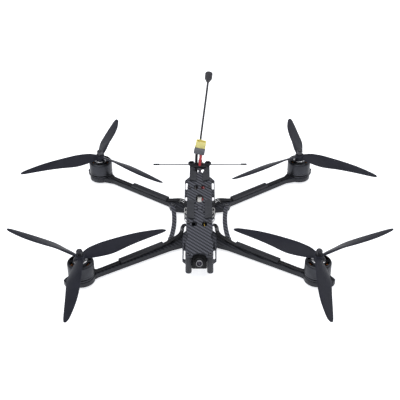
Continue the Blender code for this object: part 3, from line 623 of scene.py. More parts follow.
def cut_sheet(
    name: str,
    loops: Sequence[Sequence[Flat]],
    thickness: float,
    place: Matrix = AT_ORIGIN,
    edge: float = 0.15,
) -> Piece:
    """A flat piece with holes, its edges eased.

    Args:
        name: The piece's name.
        loops: The outline and then the holes, in millimetres.
        thickness: Its thickness in millimetres, about Z = 0.
        place: Where it goes.
        edge: The easing of its edges in millimetres.

    Returns:
        The piece.
    """
    curve = bpy.data.curves.new(name, "CURVE")
    curve.dimensions = "2D"
    curve.fill_mode = "BOTH"
    curve.extrude = (thickness / 2 - edge) * MM
    curve.bevel_depth = edge * MM
    curve.offset = -edge * MM
    curve.bevel_resolution = 1
    for loop in loops:
        spline = curve.splines.new("POLY")
        spline.points.add(len(loop) - 1)
        for point, (x, y) in zip(spline.points, loop):
            point.co = (x * MM, y * MM, 0.0, 1.0)
        spline.use_cyclic_u = True
    return settled(new_piece(name, curve), place)


def wires(
    name: str,
    routes: Sequence[Sequence[Sequence[float]]],
    radius: float,
    closed: bool = False,
    sides: int = 3,
) -> Piece:
    """Round wires through points in metres, as one curve object.

    Args:
        name: The piece's name.
        routes: One list of points for each wire.
        radius: The wires' radius in millimetres.
        closed: Whether each wire is a loop.
        sides: The resolution of the round section.

    Returns:
        The curve object.
    """
    curve = bpy.data.curves.new(name, "CURVE")
    curve.dimensions = "3D"
    curve.bevel_depth = radius * MM
    curve.bevel_resolution = sides
    curve.use_fill_caps = not closed
    for route in routes:
        spline = curve.splines.new("POLY")
        spline.points.add(len(route) - 1)
        for point, place in zip(spline.points, route):
            point.co = (*place, 1.0)
        spline.use_cyclic_u = closed
        spline.use_smooth = True
    return new_piece(name, curve)


def skin(count: int, rings: int) -> list[tuple[int, ...]]:
    """The faces that close a stack of rings into a solid, before their normals are recalculated.

    Args:
        count: Points in each ring.
        rings: How many rings there are, one after the other.

    Returns:
        Both ends and the quads between them, as indices of points.
    """
    total = count * rings
    faces = [tuple(range(count)), tuple(range(total - count, total))]
    for start in range(0, total - count, count):
        for i in range(count):
            a, b = start + i, start + (i + 1) % count
            faces.append((a, b, b + count, a + count))
    return faces


def round_point(radius: float, degrees: float) -> Flat:
    """A point at a radius and an angle about the axis."""
    return radius * math.cos(math.radians(degrees)), radius * math.sin(math.radians(degrees))


def eased_corners(width: float, depth: float, front: float, rear: float) -> list[Flat]:
    """A rectangle about the axis with its two front and its two rear corners cut off."""
    a, b = width / 2, depth / 2
    return [
        (front - a, -b), (a - front, -b), (a, front - b), (a, b - rear), (a - rear, b),
        (rear - a, b), (-a, b - rear), (-a, front - b),
    ]


def smooth_route(points: Sequence[Vector], spacing: float) -> list[Vector]:
    """Points about `spacing` metres apart on a smooth curve through a route's own points."""
    ends = [2 * points[0] - points[1], *points, 2 * points[-1] - points[-2]]
    route = []
    for a, b, c, d in zip(ends, ends[1:], ends[2:], ends[3:]):
        count = max(1, round((c - b).length / spacing))
        for step in range(count):
            t = step / count
            bend = (2 * a - 5 * b + 4 * c - d) * t**2 + (3 * b - a - 3 * c + d) * t**3
            route.append(0.5 * (2 * b + (c - a) * t + bend))
    route.append(points[-1])
    return route


def circle(radius: float, steps: int = 32, x: float = 0.0, y: float = 0.0) -> list[Flat]:
    """A round loop in millimetres."""
    angles = [2 * math.pi * i / steps for i in range(steps)]
    return [(x + radius * math.cos(a), y + radius * math.sin(a)) for a in angles]


def between(table: Sequence[Flat], share: float) -> float:
    """A value read off a table of (share, value), straight between its rows."""
    for (low, first), (high, second) in zip(table, table[1:]):
        if share <= high:
            t = max(0.0, (share - low) / (high - low))
            return first + (second - first) * t
    return table[-1][1]


# Fasteners ------------------------------------------------------------------------------------
@dataclass
class ButtonScrew:
    """A domed screw head with a hexagon socket."""

    radius: float = 2.8
    height: float = 1.7
    socket: float = 1.25  # across the socket's corners, halved
    depth: float = 1.0
    steps: int = 24

    def head(self, name: str) -> Piece:
        """The head, standing on Z = 0, as a settled mesh."""
        domed = [(1.0, 0.0), (1.0, 0.35), (0.93, 0.66), (0.78, 0.90), (0.62, 1.0)]
        rings = [[(self.radius * r, self.height * h)] * self.steps for r, h in domed]
        for height in (self.height, self.height - self.depth):
            rings.append([(self._hexagon(i), height) for i in range(self.steps)])
        points = [
            mm(*round_point(radius, 360.0 * i / self.steps), height)
            for ring in rings
            for i, (radius, height) in enumerate(ring)
        ]
        return settled(mesh_from(name, points, skin(self.steps, len(rings))))

    def _hexagon(self, step: int) -> float:
        """The socket's radius at one of the steps."""
        angle = (360.0 * step / self.steps) % 60.0 - 30.0
        return self.socket * math.cos(math.radians(30)) / math.cos(math.radians(angle))


# Sub-assemblies -------------------------------------------------------------------------------
class Corner(Enum):
    """The airframe's corners: side along X, end along Y, turning sense, first blade's angle."""

    FRONT_LEFT = (1, -1, -1, 30.0)
    FRONT_RIGHT = (-1, -1, 1, 149.0)
    REAR_LEFT = (1, 1, 1, -28.5)
    REAR_RIGHT = (-1, 1, -1, -156.8)

    @property
    def label(self) -> str:
        """The corner's name as the CAD nodes have it."""
        return self.name.lower()

    @property
    def side(self) -> int:
        """+1 on the drone's left."""
        return int(self.value[0])

    @property
    def end(self) -> int:
        """+1 at the tail."""
        return int(self.value[1])

    @property
    def sense(self) -> int:
        """+1 where the propeller turns anticlockwise, seen from above."""
        return int(self.value[2])

    @property
    def first_blade(self) -> float:
        """The angle of one of the blades, in degrees."""
        return float(self.value[3])

    @property
    def shaft(self) -> Vector:
        """The motor shaft's place on the floor plan, in millimetres."""
        return Vector((157.5 * self.side, 130.0 * self.end, 0.0))


@dataclass
class SubAssembly:
    """Pieces that are built and dressed together."""

    made: list[str] = field(default_factory=list, init=False)

    def dress(
        self,
        obj: Piece,
        finish: Finish,
        body: str = AIRFRAME,
        slot: str | None = None,
        stands_for: Sequence[str] = (),
    ) -> Piece:
        """Gives a piece its finish and its body.

        Args:
            obj: The piece, in its place.
            finish: Its finish.
            body: The CAD body that it moves with.
            slot: The record's material slot that it would take its finish from; not used.
            stands_for: The CAD nodes that it replaces.

        Returns:
            The piece.
        """
        obj.data.materials.clear()
        obj.data.materials.append(finish.material())
        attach(obj, body)
        if stands_for:
            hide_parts(*stands_for)
        self.made.append(obj.name)
        return obj

    def ease(self, nodes: Sequence[str], width: float, finish: Finish, slot: str) -> None:
        """Dresses a welded copy of each CAD node, with a live Bevel on its edges.

        Args:
            nodes: The CAD nodes that the copies stand for.
            width: The bevel's width in millimetres.
            finish: Their finish.
            slot: The record's material slot, passed on to `dress`.
        """
        for node in nodes:
            copy = new_piece(f"{node}_eased", frame["nodes"][node].data.copy())
            self.dress(bevelled(settled(copy), width), finish, slot=slot, stands_for=[node])

    def report(self) -> None:
        """Logs the pieces."""
        for name in self.made:
            log.info("%s: %s", type(self).__name__, name)


@dataclass
class Leads(SubAssembly):
    """The two battery leads, from the speed controller to the plug."""

    diameter: float = 4.4
    red: Sequence[Point] = (
        (5.5, 6.5, 22.6), (5.6, 12, 24.6), (5.7, 20, 28.8), (5.6, 29, 31.0), (5.4, 40, 31.2),
        (5.2, 54, 26.8), (4.6, 68, 25.4), (3.2, 81, 25.2), (1.6, 92, 25.2), (0.6, 99, 26.6),
        (0.2, 104.4, 32.4), (0.1, 107.4, 38.6), (0.7, 109.6, 45.2), (1.7, 111.2, 51.4),
        (2.5, 112.0, 56.6),
    )
    black: Sequence[Point] = (
        (-5.5, 6.5, 22.6), (-5.6, 12, 24.6), (-5.7, 20, 28.8), (-5.6, 29, 31.0), (-5.5, 40, 31.2),
        (-5.4, 54, 26.8), (-5.4, 68, 25.4), (-5.4, 81, 25.2), (-5.4, 92, 25.2), (-5.4, 99, 26.6),
        (-5.4, 104.4, 32.4), (-5.3, 107.4, 38.6), (-5.2, 109.8, 45.6), (-5.0, 111.6, 52.0),
        (-4.65, 112.4, 57.7),
    )

    def build(self, plug: "Plug") -> None:
        """Args:
            plug: The plug on their far ends, already built; not used.
        """
        runs = (("red", self.red, Finishes.RED_SILICONE), ("black", self.black, Finishes.BLACK_SILICONE))
        for colour, points, finish in runs:
            route = smooth_route([mm(*point) for point in points], 3.0 * MM)
            lead = wires(f"battery_lead_{colour}", [route], self.diameter / 2, sides=5)
            self.dress(lead, finish, slot=f"{colour}_silicone", stands_for=[f"power_lead_{colour}"])
            length = sum((b - a).length for a, b in zip(route, route[1:]))


@dataclass
class Plug(SubAssembly):
    """A two-pole battery plug: keyed shroud, bullet contacts and a clip-on rear cap."""

    base: Point = (-1.0, 112.0, 57.5)
    lean: float = 10.0  # degrees
    yaw: float = -6.0  # degrees
    cap_length: float = 11.0
    length: float = 22.0
    contact_pitch: float = 3.6
    front_ease: float = 0.5
    mouth_depth: float = 8.2
    gap: float = 0.3
    pieces: list[Piece] = field(default_factory=list, init=False)

    def place(self, height: float, x: float = 0.0) -> Matrix:
        """A place along the plug, whose Z runs out of its mouth."""
        return at(*self.base) @ turn(self.lean, "Y") @ turn(self.yaw, "Z") @ at(x, 0, height)

    def keyed(self, width: float, depth: float, chamfer: float) -> list[Flat]:
        """A section of the plug: its two rear corners cut off and its front ones eased."""
        return eased_corners(width, depth, self.front_ease, chamfer)

    def build(self) -> None:
        """Builds the shroud, its contacts and the cap."""
        low = self.cap_length + self.gap
        outer = self.keyed(15.8, 8.1, 1.8)
        mouth = self.keyed(13.2, 5.8, 1.4)
        floor = self.length - self.mouth_depth
        wall_place = self.place((self.length + floor) / 2)
        wall = cut_sheet("shroud_wall", [outer, mouth], self.mouth_depth, wall_place)
        base_top = floor + self.gap
        base = cut_sheet("shroud_base", [outer], base_top - low, self.place((base_top + low) / 2))
        rib = block("shroud_rib", (12.0, 0.7, 5.0), self.place(low + 2.6) @ at(0, -4.15, 1.6), 0.2)
        shroud = joined("plug_shroud", [wall, base, rib])
        self.dress(shroud, Finishes.PLUG_YELLOW, slot="plug_yellow", stands_for=["plug_body"])
        bullet = [(0, 6.0), (1.2, 6.0), (1.7, 5.2), (1.7, 1.0), (2.0, 0.6), (2.0, 0.0), (0, 0)]
        tips = [
            turned(f"bullet_{i}", bullet, self.place(floor, x), 20)
            for i, x in enumerate((-self.contact_pitch, self.contact_pitch))
        ]
        contacts = self.dress(joined("plug_contacts", tips), Finishes.GOLD)
        shell = cut_sheet(
            "cap_shell", [self.keyed(16.6, 8.8, 1.8)], self.cap_length, self.place(self.cap_length / 2), 0.4
        )
        ridges = [
            block(f"cap_ridge_{i}", (17.0, 9.2, 0.7), self.place(2.2 + 1.6 * i), 0.25) for i in range(4)
        ]
        cap = joined("plug_rear_cap", [shell, *ridges])
        self.dress(cap, Finishes.PLUG_GREY, slot="plug_grey", stands_for=["plug_cap"])
        self.pieces = [shroud, contacts, cap]


@dataclass
class Plates(SubAssembly):
    """The carbon plates, arms and braces, with the screws that show on them."""

    screw: ButtonScrew = field(default_factory=ButtonScrew)
    top_z: float = 40.2
    brace_z: float = 13.1
    top_screws: Sequence[Flat] = ((15.0, -123.6), (15.0, -49.6), (15.0, 41.2))
    brace_screws: Sequence[Flat] = ((40.5, -51.3), (40.0, 34.8))
    rear_screw: Flat = (12.8, 106.2)

    def build(self) -> None:
        """Dresses the laminates and sets the screws."""
        plates = ("bottom_plate", "mid_plate", "top_plate", "side_brace_left", "side_brace_right")
        self.ease(plates, 0.22, Finishes.CARBON, "carbon")
        arms = [f"arm_{corner.label}" for corner in Corner]
        self.ease(arms, 0.35, Finishes.ARM_CARBON, "carbon")
        seats = [(x, y, self.top_z) for x, y in self.top_screws]
        seats += [(x, y, self.brace_z) for x, y in self.brace_screws]
        self._set_screws("frame_screws", [at(*seat) for seat in seats], Finishes.SCREW)
        self._set_screws("rear_screws", [at(*self.rear_screw, self.top_z)], Finishes.ANODISED)
        self._set_washers(seats)

    def _set_screws(self, name: str, seats: Sequence[Matrix], finish: Finish) -> None:
        """Screw heads at each seat on the left, mirrored to the right."""
        self.dress(mirrored_over_x(copies(self.screw.head(name), seats)), finish)

    def _set_washers(self, seats: Sequence[Point]) -> None:
        """A thin dark washer under each screw head."""
        profile = [(1.7, 0.25), (3.3, 0.25), (3.4, 0.12), (3.4, 0.0), (1.7, 0.0)]
        washer = turned("frame_washers", profile, steps=28, ring=True)
        self.dress(mirrored_over_x(copies(washer, [at(*seat) for seat in seats])), Finishes.ANODISED)


@dataclass
class Pads(SubAssembly):
    """The four anti-slip battery pads on the top plate."""

    def build(self) -> None:
        """Dresses each pad."""
        pads = [f"battery_pad_{where}_{side}" for where in ("middle", "rear") for side in ("left", "right")]
        self.ease(pads, 0.35, Finishes.GRIP, "grip_rubber")


@dataclass
class Wiring(SubAssembly):
    """The printed covers on the arms and the three leads of each motor."""

    pitch: float = 1.95
    radius: float = 0.95
    on_arm: float = 11.6
    straight: int = 3  # points that need no smoothing, along the arm
    rear_sag: float = 2.4  # of the wire nearest the nose
    front: Sequence[Point] = (
        (141.6, -123.2, 0), (132, -117.9, 0), (109, -102.3, 0), (50.5, -62.4, 0), (44, -59.8, 13.8),
        (37, -54.2, 15.2), (31.4, -48.6, 15.2), (27.4, -43.2, 15.4), (25.0, -36.8, 16.6), (24.4, -31.0, 18.6),
        (22.6, -27.0, 19.2), (19.4, -25.6, 19.2),
    )
    rear: Sequence[Point] = (
        (141.8, 118.7, 0), (132, 111.6, 0), (104.5, 91.8, 0), (48.5, 51.4, 0), (42, 48.6, 13.2),
        (34, 46.2, 15.4), (27.5, 42.5, 17.2), (22.6, 35, 18.6), (19, 24, 19.2), (16, 14, 19.2),
        (14.6, 7.0, 19.2),
    )

    def build(self) -> None:
        """Lays the leads and dresses the covers."""
        for corner in Corner:
            self._leads(corner)
            self.ease([f"wire_cover_{corner.label}"], 0.3, Finishes.PRINTED, "printed")

    def _leads(self, corner: Corner) -> None:
        """Three wires side by side along the arm, into the body, the rear ones hanging apart.

        Args:
            corner: The motor's corner.
        """
        points = self.front if corner.end < 0 else self.rear
        middle = [mm(corner.side * x, y, z or self.on_arm) for x, y, z in points]
        middle = middle[: self.straight] + smooth_route(middle[self.straight :], 3.0 * MM)
        deepest = self.rear_sag if corner.end > 0 else 0.0
        loose_steps = len(middle) - self.straight - 1
        routes = []
        for lane in (-1, 0, 1):
            route = []
            for i, here in enumerate(middle):
                ahead = middle[min(i + 1, len(middle) - 1)] - middle[max(i - 1, 0)]
                across = Vector((-ahead.y, ahead.x, 0.0)).normalized()
                hang = math.sin(math.pi * max(i - self.straight, 0) / loose_steps)
                sag = deepest * hang * (1 + lane * corner.side) / 2
                route.append(here + across * lane * self.pitch * MM - mm(0, 0, sag))
            routes.append(route)
        node = f"motor_leads_{corner.label}"
        leads = wires(f"motor_wires_{corner.label}", routes, self.radius, sides=3)
        self.dress(leads, Finishes.BLACK_SILICONE, slot="black_silicone", stands_for=[node])


@dataclass
class OnShaft(SubAssembly):
    """Pieces that stand round one motor's shaft."""

    corner: Corner = Corner.FRONT_LEFT

    def name(self, piece: str) -> str:
        """A piece's name with its corner."""
        return f"{piece}_{self.corner.label}"

    def place(self, height: float = 0.0) -> Matrix:
        """The shaft's axis at a height."""
        return at(self.corner.shaft.x, self.corner.shaft.y, height)

    def turning(self, obj: Piece, finish: Finish, slot: str, stands_for: Sequence[str] = ()) -> None:
        """Dresses a piece of the rotor."""
        self.dress(obj, finish, self.name("rotor"), slot, stands_for)


@dataclass
class Motor(OnShaft):
    """One brushless motor: flange, wound core, magnets, open bell and shaft."""

    teeth: int = 12
    turns: int = 6
    coil_ease: float = 0.6
    magnets: int = 14
    windows: int = 6
    core_low: float = 18.6
    core_high: float = 28.4
    bell_radius: float = 17.9
    bell_low: float = 15.0
    bell_top: float = 35.2

    def build(self) -> None:
        """Builds the still pieces and then the turning ones."""
        self._flange()
        self._core()
        self._coils()
        self._bell()
        self._magnets()
        self._seat_and_shaft()

    def _flange(self) -> None:
        """The foot and the bearing tube that stands on it."""
        profile = [
            (2.9, 29.4), (5.6, 29.4), (6.0, 29.0), (6.0, 17.6), (8.3, 16.6), (8.3, 14.4), (15.6, 13.4),
            (16.6, 12.8), (17.0, 12.2), (17.0, 10.9), (16.7, 10.6), (2.9, 10.6),
        ]
        flange = turned(self.name("motor_flange"), profile, self.place(), ring=True)
        self.dress(flange, Finishes.BELL, slot="stator", stands_for=[self.name("motor_stator")])

    def _core(self) -> None:
        """The laminated core: a ring with a broad-tipped tooth at each step."""
        half_tooth = ((7.6, 0.20), (12.8, 0.10), (13.4, 0.22), (14.9, 0.22))  # radius and radians
        tooth = [(radius, -angle) for radius, angle in half_tooth]
        tooth += [(15.2, 0.0), *reversed(half_tooth)]
        outline = [
            round_point(radius, 360.0 * i / self.teeth + math.degrees(angle))
            for i in range(self.teeth)
            for radius, angle in tooth
        ]
        height = (self.core_low + self.core_high) / 2
        thickness = self.core_high - self.core_low
        core = cut_sheet(
            self.name("motor_core"), [outline, circle(6.1)], thickness, self.place(height), 0.1
        )
        self.dress(core, Finishes.LAMINATION, slot="stator")

    def _coils(self) -> None:
        """The turns of copper round every tooth."""
        middle = (self.core_low + self.core_high) / 2
        height = self.core_high - self.core_low + 2.0
        centre = mm(self.corner.shaft.x, self.corner.shaft.y, middle)
        routes = []
        for tooth in range(self.teeth):
            spin = turn(360.0 * tooth / self.teeth, "Z")
            for i in range(self.turns):
                radius = 8.6 + 0.78 * i
                width = 3.1 + 0.32 * i
                loop = eased_corners(width, height, self.coil_ease, self.coil_ease)
                routes.append([centre + spin @ mm(radius, y, z) for y, z in loop])
        coils = wires(self.name("motor_coils"), routes, 0.42, closed=True, sides=1)
        self.dress(coils, Finishes.COPPER, slot="stator")

    def _bell(self) -> None:
        """The skirt and the roof with its windows."""
        radius, low, top = self.bell_radius, self.bell_low, self.bell_top
        profile = [
            (radius - 2.2, top - 0.9), (radius - 1.2, top - 1.3), (radius - 0.3, top - 2.4),
            (radius, top - 3.2), (radius, low + 3.4), (radius - 0.25, low + 3.2), (radius - 0.25, low + 2.6),
            (radius, low + 2.4), (radius, low + 0.4), (radius - 0.4, low), (radius - 1.3, low),
            (radius - 1.5, low + 0.3), (radius - 1.5, top - 3.4), (radius - 3.4, top - 3.4),
            (radius - 3.4, top - 0.9),
        ]
        skirt = turned(self.name("skirt"), profile, self.place(), 72, ring=True)
        loops = [circle(radius - 2.0, 60), circle(6.0, 40)]
        for i in range(self.windows):
            loops.append(self._window(360.0 / self.windows * (i + 0.5)))
        roof = cut_sheet(self.name("roof"), loops, 2.6, self.place(top - 1.9), 0.3)
        bell = joined(self.name("bell_shell"), [skirt, roof])
        self.turning(bell, Finishes.BELL, "motor_black", [self.name("motor_bell")])

    def _window(self, degrees: float) -> list[Flat]:
        """A wedge-shaped window of the roof, in millimetres."""
        spread = 20.0
        outer = [degrees + spread * (k / 3 - 1) for k in range(7)]
        loop = [(14.6, a) for a in outer] + [(10.8, a) for a in (outer[-1] - 2, degrees, outer[0] + 2)]
        return [round_point(radius, angle) for radius, angle in loop]

    def _magnets(self) -> None:
        """Magnets inside the skirt, one block repeated round the axis."""
        first_place = at(self.bell_radius - 2.0, 0, 23.5)
        magnet = block(self.name("motor_magnets"), (1.0, 3.0, 11.0), first_place, 0.15)
        places = [self.place() @ turn(360.0 * i / self.magnets, "Z") for i in range(self.magnets)]
        self.turning(copies(magnet, places), Finishes.MAGNET, "motor_black")

    def _seat_and_shaft(self) -> None:
        """The bright seat under the propeller and the threaded shaft through it."""
        profile = [
            (2.4, 36.6), (8.9, 36.6), (9.5, 36.3), (9.6, 35.9), (9.6, 34.6), (9.2, 34.0), (2.4, 34.0),
        ]
        seat = turned(self.name("prop_seat"), profile, self.place(), ring=True)
        self.turning(seat, Finishes.SILVER, "motor_black")
        profile = [(0, 53.0), (1.7, 53.0), (2.3, 52.3)]
        height, thread_end, thread_pitch = 52.0, 45.6, 0.8
        while height > thread_end:
            profile += [(2.5, height), (2.25, height - thread_pitch / 2)]
            height -= thread_pitch
        profile += [(2.5, 45.0), (2.5, 12.7), (2.2, 12.4), (0, 12.4)]
        shaft = turned(self.name("motor_shaft"), profile, self.place(), 24)
        self.turning(shaft, Finishes.SCREW, "motor_black")


@dataclass
class Propeller(OnShaft):
    """A three-blade propeller and the nut that holds it."""

    radius: float = 127.0
    pitch: float = 127.0
    steepest: float = 30.0  # degrees
    plane: float = 40.0
    hub_low: float = 36.8
    hub_top: float = 44.4
    blades: int = 3
    crease: float = 0.9  # how firmly the tip and the rims hold under the smoothing
    stations: Sequence[float] = (
        0.045, 0.075, 0.11, 0.15, 0.19, 0.24, 0.29, 0.35, 0.42, 0.50, 0.58, 0.66, 0.74, 0.82, 0.89, 0.94,
        0.975, 1.0,
    )
    leading: Sequence[Flat] = (
        (0.045, 5.6), (0.11, 8.4), (0.18, 9.2), (0.27, 9.7), (0.36, 10.1), (0.5, 10.5), (0.6, 10.4),
        (0.68, 10.0), (0.76, 9.1), (0.84, 7.5), (0.9, 6.1), (0.95, 4.9), (0.985, 3.4), (1.0, 1.4),
    )
    trailing: Sequence[Flat] = (
        (0.045, 4.6), (0.11, 7.4), (0.18, 9.4), (0.27, 11.2), (0.34, 12.0), (0.42, 11.1), (0.5, 9.4),
        (0.66, 7.0), (0.8, 5.3), (0.9, 4.1), (0.97, 3.1), (1.0, 1.6),
    )
    rise: Sequence[Flat] = (
        (0.045, 1.2), (0.14, 2.4), (0.27, 3.2), (0.45, 3.0), (0.66, 2.2), (0.8, 1.5), (1.0, 0.4),
    )
    thickness: Sequence[Flat] = ((0.0, 3.6), (0.3, 2.5), (1.0, 1.0))
    section: Sequence[Flat] = (
        (0.0, 0.0), (0.06, 0.16), (0.3, 0.42), (0.6, 0.56), (0.85, 0.48), (0.97, 0.22), (1.0, 0.0),
        (0.97, -0.2), (0.8, -0.34), (0.4, -0.28), (0.06, -0.08),
    )

    def build(self) -> None:
        """Builds the blades, the hub and the nut."""
        first, step = self.corner.first_blade, 360.0 / self.blades
        places = [self.place(self.plane) @ turn(first + step * k, "Z") for k in range(self.blades)]
        blades = copies(self._blade(), places)
        self.turning(blades, Finishes.PROPELLER, "propeller", [self.name("propeller")])
        low, top = self.hub_low, self.hub_top
        profile = [
            (2.8, top - 1.0), (4.6, top - 1.0), (4.8, top), (6.2, top), (6.7, top - 0.5), (6.8, top - 1.2),
            (6.8, low + 0.4), (6.5, low), (2.8, low),
        ]
        hub = turned(self.name("propeller_hub"), profile, self.place(), ring=True)
        self.turning(hub, Finishes.PROPELLER, "propeller")
        self._nut()

    def _blade(self) -> Piece:
        """One blade along +X, a cage under a Subdivision Surface that is applied."""
        points: list[Vector] = []
        for station in self.stations:
            radius = station * self.radius
            back = -between(self.trailing, station)
            chord = between(self.leading, station) - back
            rise = between(self.rise, station)
            thick = between(self.thickness, station)
            angle = min(math.atan(self.pitch / (2 * math.pi * radius)), math.radians(self.steepest))
            for share, height in self.section:
                along, up = back + share * chord, height * thick
                y = along * math.cos(angle) - up * math.sin(angle)
                z = rise + along * math.sin(angle) + up * math.cos(angle)
                points.append(mm(radius, self.corner.sense * y, z))
        count = len(self.section)
        name = self.name("propeller_blades")
        obj = mesh_from(name, points, skin(count, len(self.stations)))
        crease = obj.data.attributes.new("crease_edge", "FLOAT", "EDGE")
        for edge in obj.data.edges:
            a, b = sorted(edge.vertices)
            tip = a >= len(points) - count
            rim = b - a == count and a % count in (0, self.section.index((1.0, 0.0)))
            crease.data[edge.index].value = self.crease if tip or rim else 0.0
        rounder = obj.modifiers.new("Smooth", "SUBSURF")
        rounder.levels = rounder.render_levels = 1
        return settled(obj)

    def _nut(self) -> None:
        """A flanged lock nut: a hexagon between its flange and its collar."""
        low = self.hub_top + 0.3
        foot = self.place(low)
        bore = circle(2.6, 24)
        hexagon = cut_sheet("nut_hexagon", [circle(4.5, 6), bore], 6.4, foot @ at(0, 0, 3.4), 0.35)
        flange = [(2.6, 0.9), (4.2, 0.9), (4.6, 0.4), (4.6, 0), (2.6, 0)]
        collar = [(2.6, 7.8), (3.3, 7.8), (3.8, 7.3), (4.0, 6.5), (2.6, 6.5)]
        rings = [
            turned(f"nut_ring_{i}", profile, foot, ring=True) for i, profile in enumerate((flange, collar))
        ]
        nut = joined(self.name("lock_nut"), [hexagon, *rings])
        self.turning(nut, Finishes.ANODISED, "nut", [self.name("prop_nut")])


@dataclass
class Bay(SubAssembly):
    """Everything between the mid plate and the top plate but the camera."""

    stack_y: float = -14.0
    half_pitch: float = 15.25
    board_ease: float = 2.6
    speed_board: float = 18.7
    flight_board: float = 27.6
    low: float = 13.4
    top: float = 37.4

    def stack_corners(self) -> list[Flat]:
        """The four screws of the stack, about its middle."""
        ends = (-self.half_pitch, self.half_pitch)
        return [(x, y) for x in ends for y in ends]

    def build(self) -> None:
        """Builds the standoffs, the stacked boards and the loose electronics."""
        self._standoffs()
        self._boards()
        self._stack_posts()
        self._capacitor()
        self._transmitter()
        self._receiver()
        self._side_plugs()
        self._loose_wires()

    def _standoffs(self) -> None:
        """Knurled posts with eased ends."""
        seats = {"middle": (15.0, -49.6), "rear_middle": (15.0, 41.2), "rear": (12.8, 106.2)}
        for where, (x, y) in seats.items():
            profile = [(0, self.top), (2.2, self.top), (2.6, self.top - 0.4)]
            for groove in range(6):
                height = self.top - 2.2 - 3.6 * groove
                profile += [(2.6, height), (2.3, height - 0.3), (2.3, height - 0.9), (2.6, height - 1.2)]
            profile += [(2.6, self.low + 0.4), (2.2, self.low), (0, self.low)]
            for side, name in ((1, "left"), (-1, "right")):
                post = turned(f"post_{where}_{name}", profile, at(side * x, y, 0), 32)
                self.dress(post, Finishes.ANODISED, slot="standoff", stands_for=[f"standoff_{where}_{name}"])

    def _boards(self) -> None:
        """The speed controller and the flight controller with their components."""
        y = self.stack_y
        self._board("speed_controller", (36.4, 39.4), self.speed_board, 1.6)
        self._board("flight_controller", (36.0, 36.0), self.flight_board, 1.4)
        on_speed, on_flight = self.speed_board + 0.8, self.flight_board + 0.7
        switches: list[Block] = [
            ((5.0, 5.6, 1.2), (side * 13.4, y - 9.6 + 6.4 * i, on_speed + 0.6), 0.15)
            for i in range(4)
            for side in (-1, 1)
        ]
        chips: list[Block] = [
            ((7.0, 7.0, 1.1), (0, y - 4, on_speed + 0.55), 0.15),  # driver
            ((8.0, 8.0, 1.1), (0, y + 1.0, on_flight + 0.55), 0.15),  # processor
            ((3.0, 3.2, 1.0), (8.2, y - 5, on_flight + 0.5), 0.12),  # gyro
            ((5.2, 4.2, 1.0), (-8.4, y + 5, on_flight + 0.5), 0.12),  # memory
        ]
        self.dress(blocks("board_chips", switches + chips), Finishes.CHIP, slot="circuit_board")
        pads: list[Block] = [
            ((1.8, 2.2, 0.5), (side * 16.8, y - 12.5 + 5.0 * i, on_speed + 0.2), 0.2)
            for i in range(6)
            for side in (-1, 1)
        ]
        pins: list[Block] = [
            ((1.2, 1.6, 0.4), (-9.6 + 2.4 * i, y + 16.4, on_flight + 0.1), 0.15) for i in range(9)
        ]
        self.dress(blocks("board_solder", pads + pins), Finishes.SOLDER, slot="circuit_board")
        plugs: list[Block] = [
            ((10.0, 4.4, 3.4), (0, y - 14.6, on_flight + 1.6), 0.3),  # to the speed controller
            ((4.4, 3.8, 3.0), (11.6, y + 11.4, on_flight + 1.4), 0.3),  # to the camera
            ((5.4, 3.8, 3.0), (-11.4, y + 11.4, on_flight + 1.4), 0.3),  # to the receiver
        ]
        self.dress(blocks("board_plugs", plugs), Finishes.CONNECTOR, slot="circuit_board")
        port = block("data_port", (4.2, 8.6, 2.9), at(-16.4, y, 29.6), 0.6)
        self.dress(port, Finishes.SILVER, slot="circuit_board")

    def _board(self, node: str, size: Flat, height: float, thickness: float) -> None:
        """One board with eased corners and its screw holes."""
        outline = eased_corners(*size, self.board_ease, self.board_ease)
        holes = [circle(1.9, 16, x, y) for x, y in self.stack_corners()]
        sheet = cut_sheet(f"{node}_board", [outline, *holes], thickness, at(0, self.stack_y, height), 0.1)
        self.dress(sheet, Finishes.BOARD, slot="circuit_board", stands_for=[node])

    def _stack_posts(self) -> None:
        """The stack's screws, soft grommets and lock nuts."""
        seats = [at(x, self.stack_y + y, 0) for x, y in self.stack_corners()]
        rod = [(0, 34.0), (1.2, 34.0), (1.5, 33.6), (1.5, 13.2), (0, 13.2)]
        screw = turned("stack_screws", rod, steps=20)
        self.dress(copies(screw, seats), Finishes.SILVER)
        grommet = [
            (1.55, 30.4), (2.6, 30.4), (3.0, 30.0), (3.0, 28.9), (1.85, 28.6), (1.85, 26.6), (3.0, 26.3),
            (3.0, 23.6), (2.6, 23.2), (1.55, 23.2),
        ]
        self.dress(copies(turned("stack_grommets", grommet, steps=24, ring=True), seats), Finishes.RUBBER)
        lower = [(1.55, 17.6), (2.7, 17.6), (3.0, 17.2), (3.0, 13.8), (2.7, 13.4), (1.55, 13.4)]
        self.dress(copies(turned("stack_feet", lower, steps=24, ring=True), seats), Finishes.RUBBER)
        nut = cut_sheet("stack_nuts", [circle(2.9, 6), circle(1.55, 16)], 2.2, at(0, 0, 31.6), 0.2)
        self.dress(copies(nut, seats), Finishes.ANODISED)

    def _capacitor(self) -> None:
        """A sleeved capacitor that lies across the bay, with a scored bright end."""
        place = at(0, 32, 19.75) @ turn(90, "Y")
        sleeve = [
            (4.6, 12.0), (5.9, 12.0), (6.25, 11.6), (6.25, 9.6), (5.8, 9.2), (5.8, 8.8), (6.25, 8.4),
            (6.25, -11.6), (5.9, -12.0), (4.6, -12.0),
        ]
        shell = turned("capacitor_sleeve", sleeve, place, ring=True)
        self.dress(shell, Finishes.SLEEVE, slot="capacitor_sleeve", stands_for=["capacitor"])
        can = [(0, 11.5), (4.4, 11.7), (4.6, 11.4), (4.6, -11.4), (4.4, -11.7), (0, -11.5)]
        self.dress(turned("capacitor_can", can, place), Finishes.SILVER)

